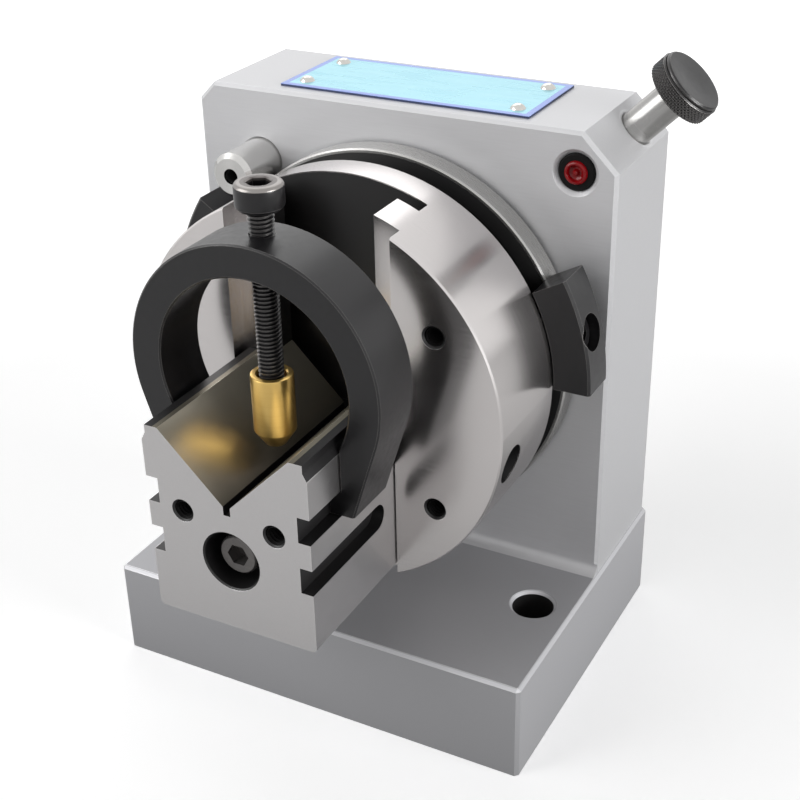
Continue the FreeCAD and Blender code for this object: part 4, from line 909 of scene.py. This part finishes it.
bm = bmesh.new()
lathe(bm, [(DIAL_R - 0.4, DIAL_KNURL_LOW), (DIAL_R, DIAL_KNURL_LOW + 0.2),
           (DIAL_R, DIAL_KNURL_HIGH - 0.2), (DIAL_R - 0.4, DIAL_KNURL_HIGH)], DIAL_TEETH * 2)
for vert in bm.verts:
    away = math.hypot(vert.co.x, vert.co.y)
    column = round(math.atan2(vert.co.y, vert.co.x) / math.tau * DIAL_TEETH * 2)
    if away > (DIAL_R - 0.1) * MM and column % 2 == 0:
        vert.co.xy *= (DIAL_R + 0.35) * MM / away
rims = [e for e in bm.edges if e.is_boundary]
bmesh.ops.bridge_loops(bm, edges=rims)
finished(bm, "dial_knurl", satin_chrome, "spindle_head",
         facing(point(0, 0, SPINDLE_Z), (0, 1, 0)))

# %% [markdown]
# The studio is plain: a white floor that fades into a white background, an even sky and three
# large soft lamps, one behind, one at the left front and a low one at the right. The camera sees
# floor and sky white, and far from the object, where the lamps are weak, the floor is as white as
# the sky. Metal shows what stands round it, so it sees the sky white too and the floor a little
# greyer. Matt surfaces are lit by a weaker sky and a darker floor, which keeps the shadows and the
# shaded sides dark. Close to the base the floor's colour, as metal and matt surfaces see it, is
# painted darker, a painted shade, and so the foot is darker than the top.

# %% Floor, sky and lamps
FLOOR_SIZE = 6.0
SKY_FOR_LIGHT = 0.30
FLOOR_GLOW = 0.30
GLOW_IN_METAL = 0.12
FOOT_MIDDLE, FOOT_HALF = point(0, -8.4, 0), point(60, 45.7, 1)
SHADE_WIDTH, SHADE_LEAST = 0.10, 0.10
FADE_FROM, FADE_TO = 0.15, 0.9

floor_mesh = bpy.data.meshes.new("floor")
bm = bmesh.new()
bmesh.ops.create_grid(bm, x_segments=1, y_segments=1, size=FLOOR_SIZE / 2)
bm.to_mesh(floor_mesh)
bm.free()
floor = bpy.data.objects.new("floor", floor_mesh)
bpy.context.scene.collection.objects.link(floor)
white_floor = bpy.data.materials.new("matt_white_floor")
white_floor.use_nodes = True
tree = white_floor.node_tree
tree.nodes.remove(tree.nodes["Principled BSDF"])
path = add(tree, "ShaderNodeLightPath")
seen = add(tree, "ShaderNodeMath", {"operation": "MULTIPLY", 1: GLOW_IN_METAL},
           {0: path.outputs["Is Glossy Ray"]})
in_metal = add(tree, "ShaderNodeMix", {"data_type": "RGBA", 6: linear("#6C6C6C"),
                                       7: linear("#DCDCDC")}, {0: path.outputs["Is Glossy Ray"]})
where = add(tree, "ShaderNodeTexCoord")
off = add(tree, "ShaderNodeVectorMath", {"operation": "SUBTRACT", 1: FOOT_MIDDLE},
          {0: where.outputs["Object"]})
past = add(tree, "ShaderNodeVectorMath", {"operation": "ABSOLUTE"}, {0: off.outputs["Vector"]})
past = add(tree, "ShaderNodeVectorMath", {"operation": "SUBTRACT", 1: FOOT_HALF},
           {0: past.outputs["Vector"]})
past = add(tree, "ShaderNodeVectorMath", {"operation": "MAXIMUM", 1: (0, 0, 0)},
           {0: past.outputs["Vector"]})
past = add(tree, "ShaderNodeVectorMath", {"operation": "LENGTH"}, {0: past.outputs["Vector"]})
# Painted shade: the floor darker near the base for light and reflections.
shade = add(tree, "ShaderNodeMapRange", {"From Max": SHADE_WIDTH, "To Min": SHADE_LEAST,
                                         "To Max": 1.0}, {"Value": past.outputs["Value"]})
fade = add(tree, "ShaderNodeMapRange", {"From Min": FADE_FROM, "From Max": FADE_TO,
                                        "To Min": FLOOR_GLOW, "To Max": 1.0},
           {"Value": past.outputs["Value"]})
glow = add(tree, "ShaderNodeMath", {"operation": "MULTIPLY_ADD"},
           {0: path.outputs["Is Camera Ray"], 1: fade.outputs["Result"],
            2: seen.outputs["Value"]})
shaded = add(tree, "ShaderNodeVectorMath", {"operation": "SCALE"},
             {0: in_metal.outputs[2], "Scale": shade.outputs["Result"]})
tone = add(tree, "ShaderNodeMix", {"data_type": "RGBA", 7: linear("#FAFAFA")},
           {0: path.outputs["Is Camera Ray"], 6: shaded.outputs["Vector"]})
matt = add(tree, "ShaderNodeBsdfDiffuse", links={"Color": tone.outputs[2]})
shine = add(tree, "ShaderNodeEmission", links={"Strength": glow.outputs["Value"]})
both = add(tree, "ShaderNodeAddShader", links={0: matt.outputs["BSDF"],
                                               1: shine.outputs["Emission"]})
tree.links.new(both.outputs["Shader"], tree.nodes["Material Output"].inputs["Surface"])
floor_mesh.materials.append(white_floor)

world = bpy.data.worlds.new("studio")
world.use_nodes = True
bpy.context.scene.world = world
tree = world.node_tree
sky = tree.nodes["Background"]
sky.inputs["Color"].default_value = (1, 1, 1, 1)
path = add(tree, "ShaderNodeLightPath")
seen = add(tree, "ShaderNodeMath", {"operation": "MAXIMUM"},
           {0: path.outputs["Is Camera Ray"], 1: path.outputs["Is Glossy Ray"]})
level = add(tree, "ShaderNodeMapRange", {"To Min": SKY_FOR_LIGHT, "To Max": 1.0},
            {"Value": seen.outputs["Value"]})
tree.links.new(level.outputs["Result"], sky.inputs["Strength"])

for name, place, size, power in (("lamp_behind", (-0.7, 1.1, 1.3), 1.6, 7.0),
                                 ("lamp_left", (-1.1, -0.9, 0.8), 1.2, 14.0),
                                 ("lamp_right", (1.5, -0.1, 0.35), 0.7, 14.0)):
    lamp = bpy.data.lights.new(name, "AREA")
    lamp.shape, lamp.size, lamp.energy = "SQUARE", size, power
    holder = bpy.data.objects.new(name, lamp)
    holder.location = place
    aim = Vector((0, 0, 0.07)) - Vector(place)
    holder.rotation_euler = aim.to_track_quat("-Z", "Y").to_euler()
    bpy.context.scene.collection.objects.link(holder)

bpy.context.scene.view_settings.view_transform = "Standard"
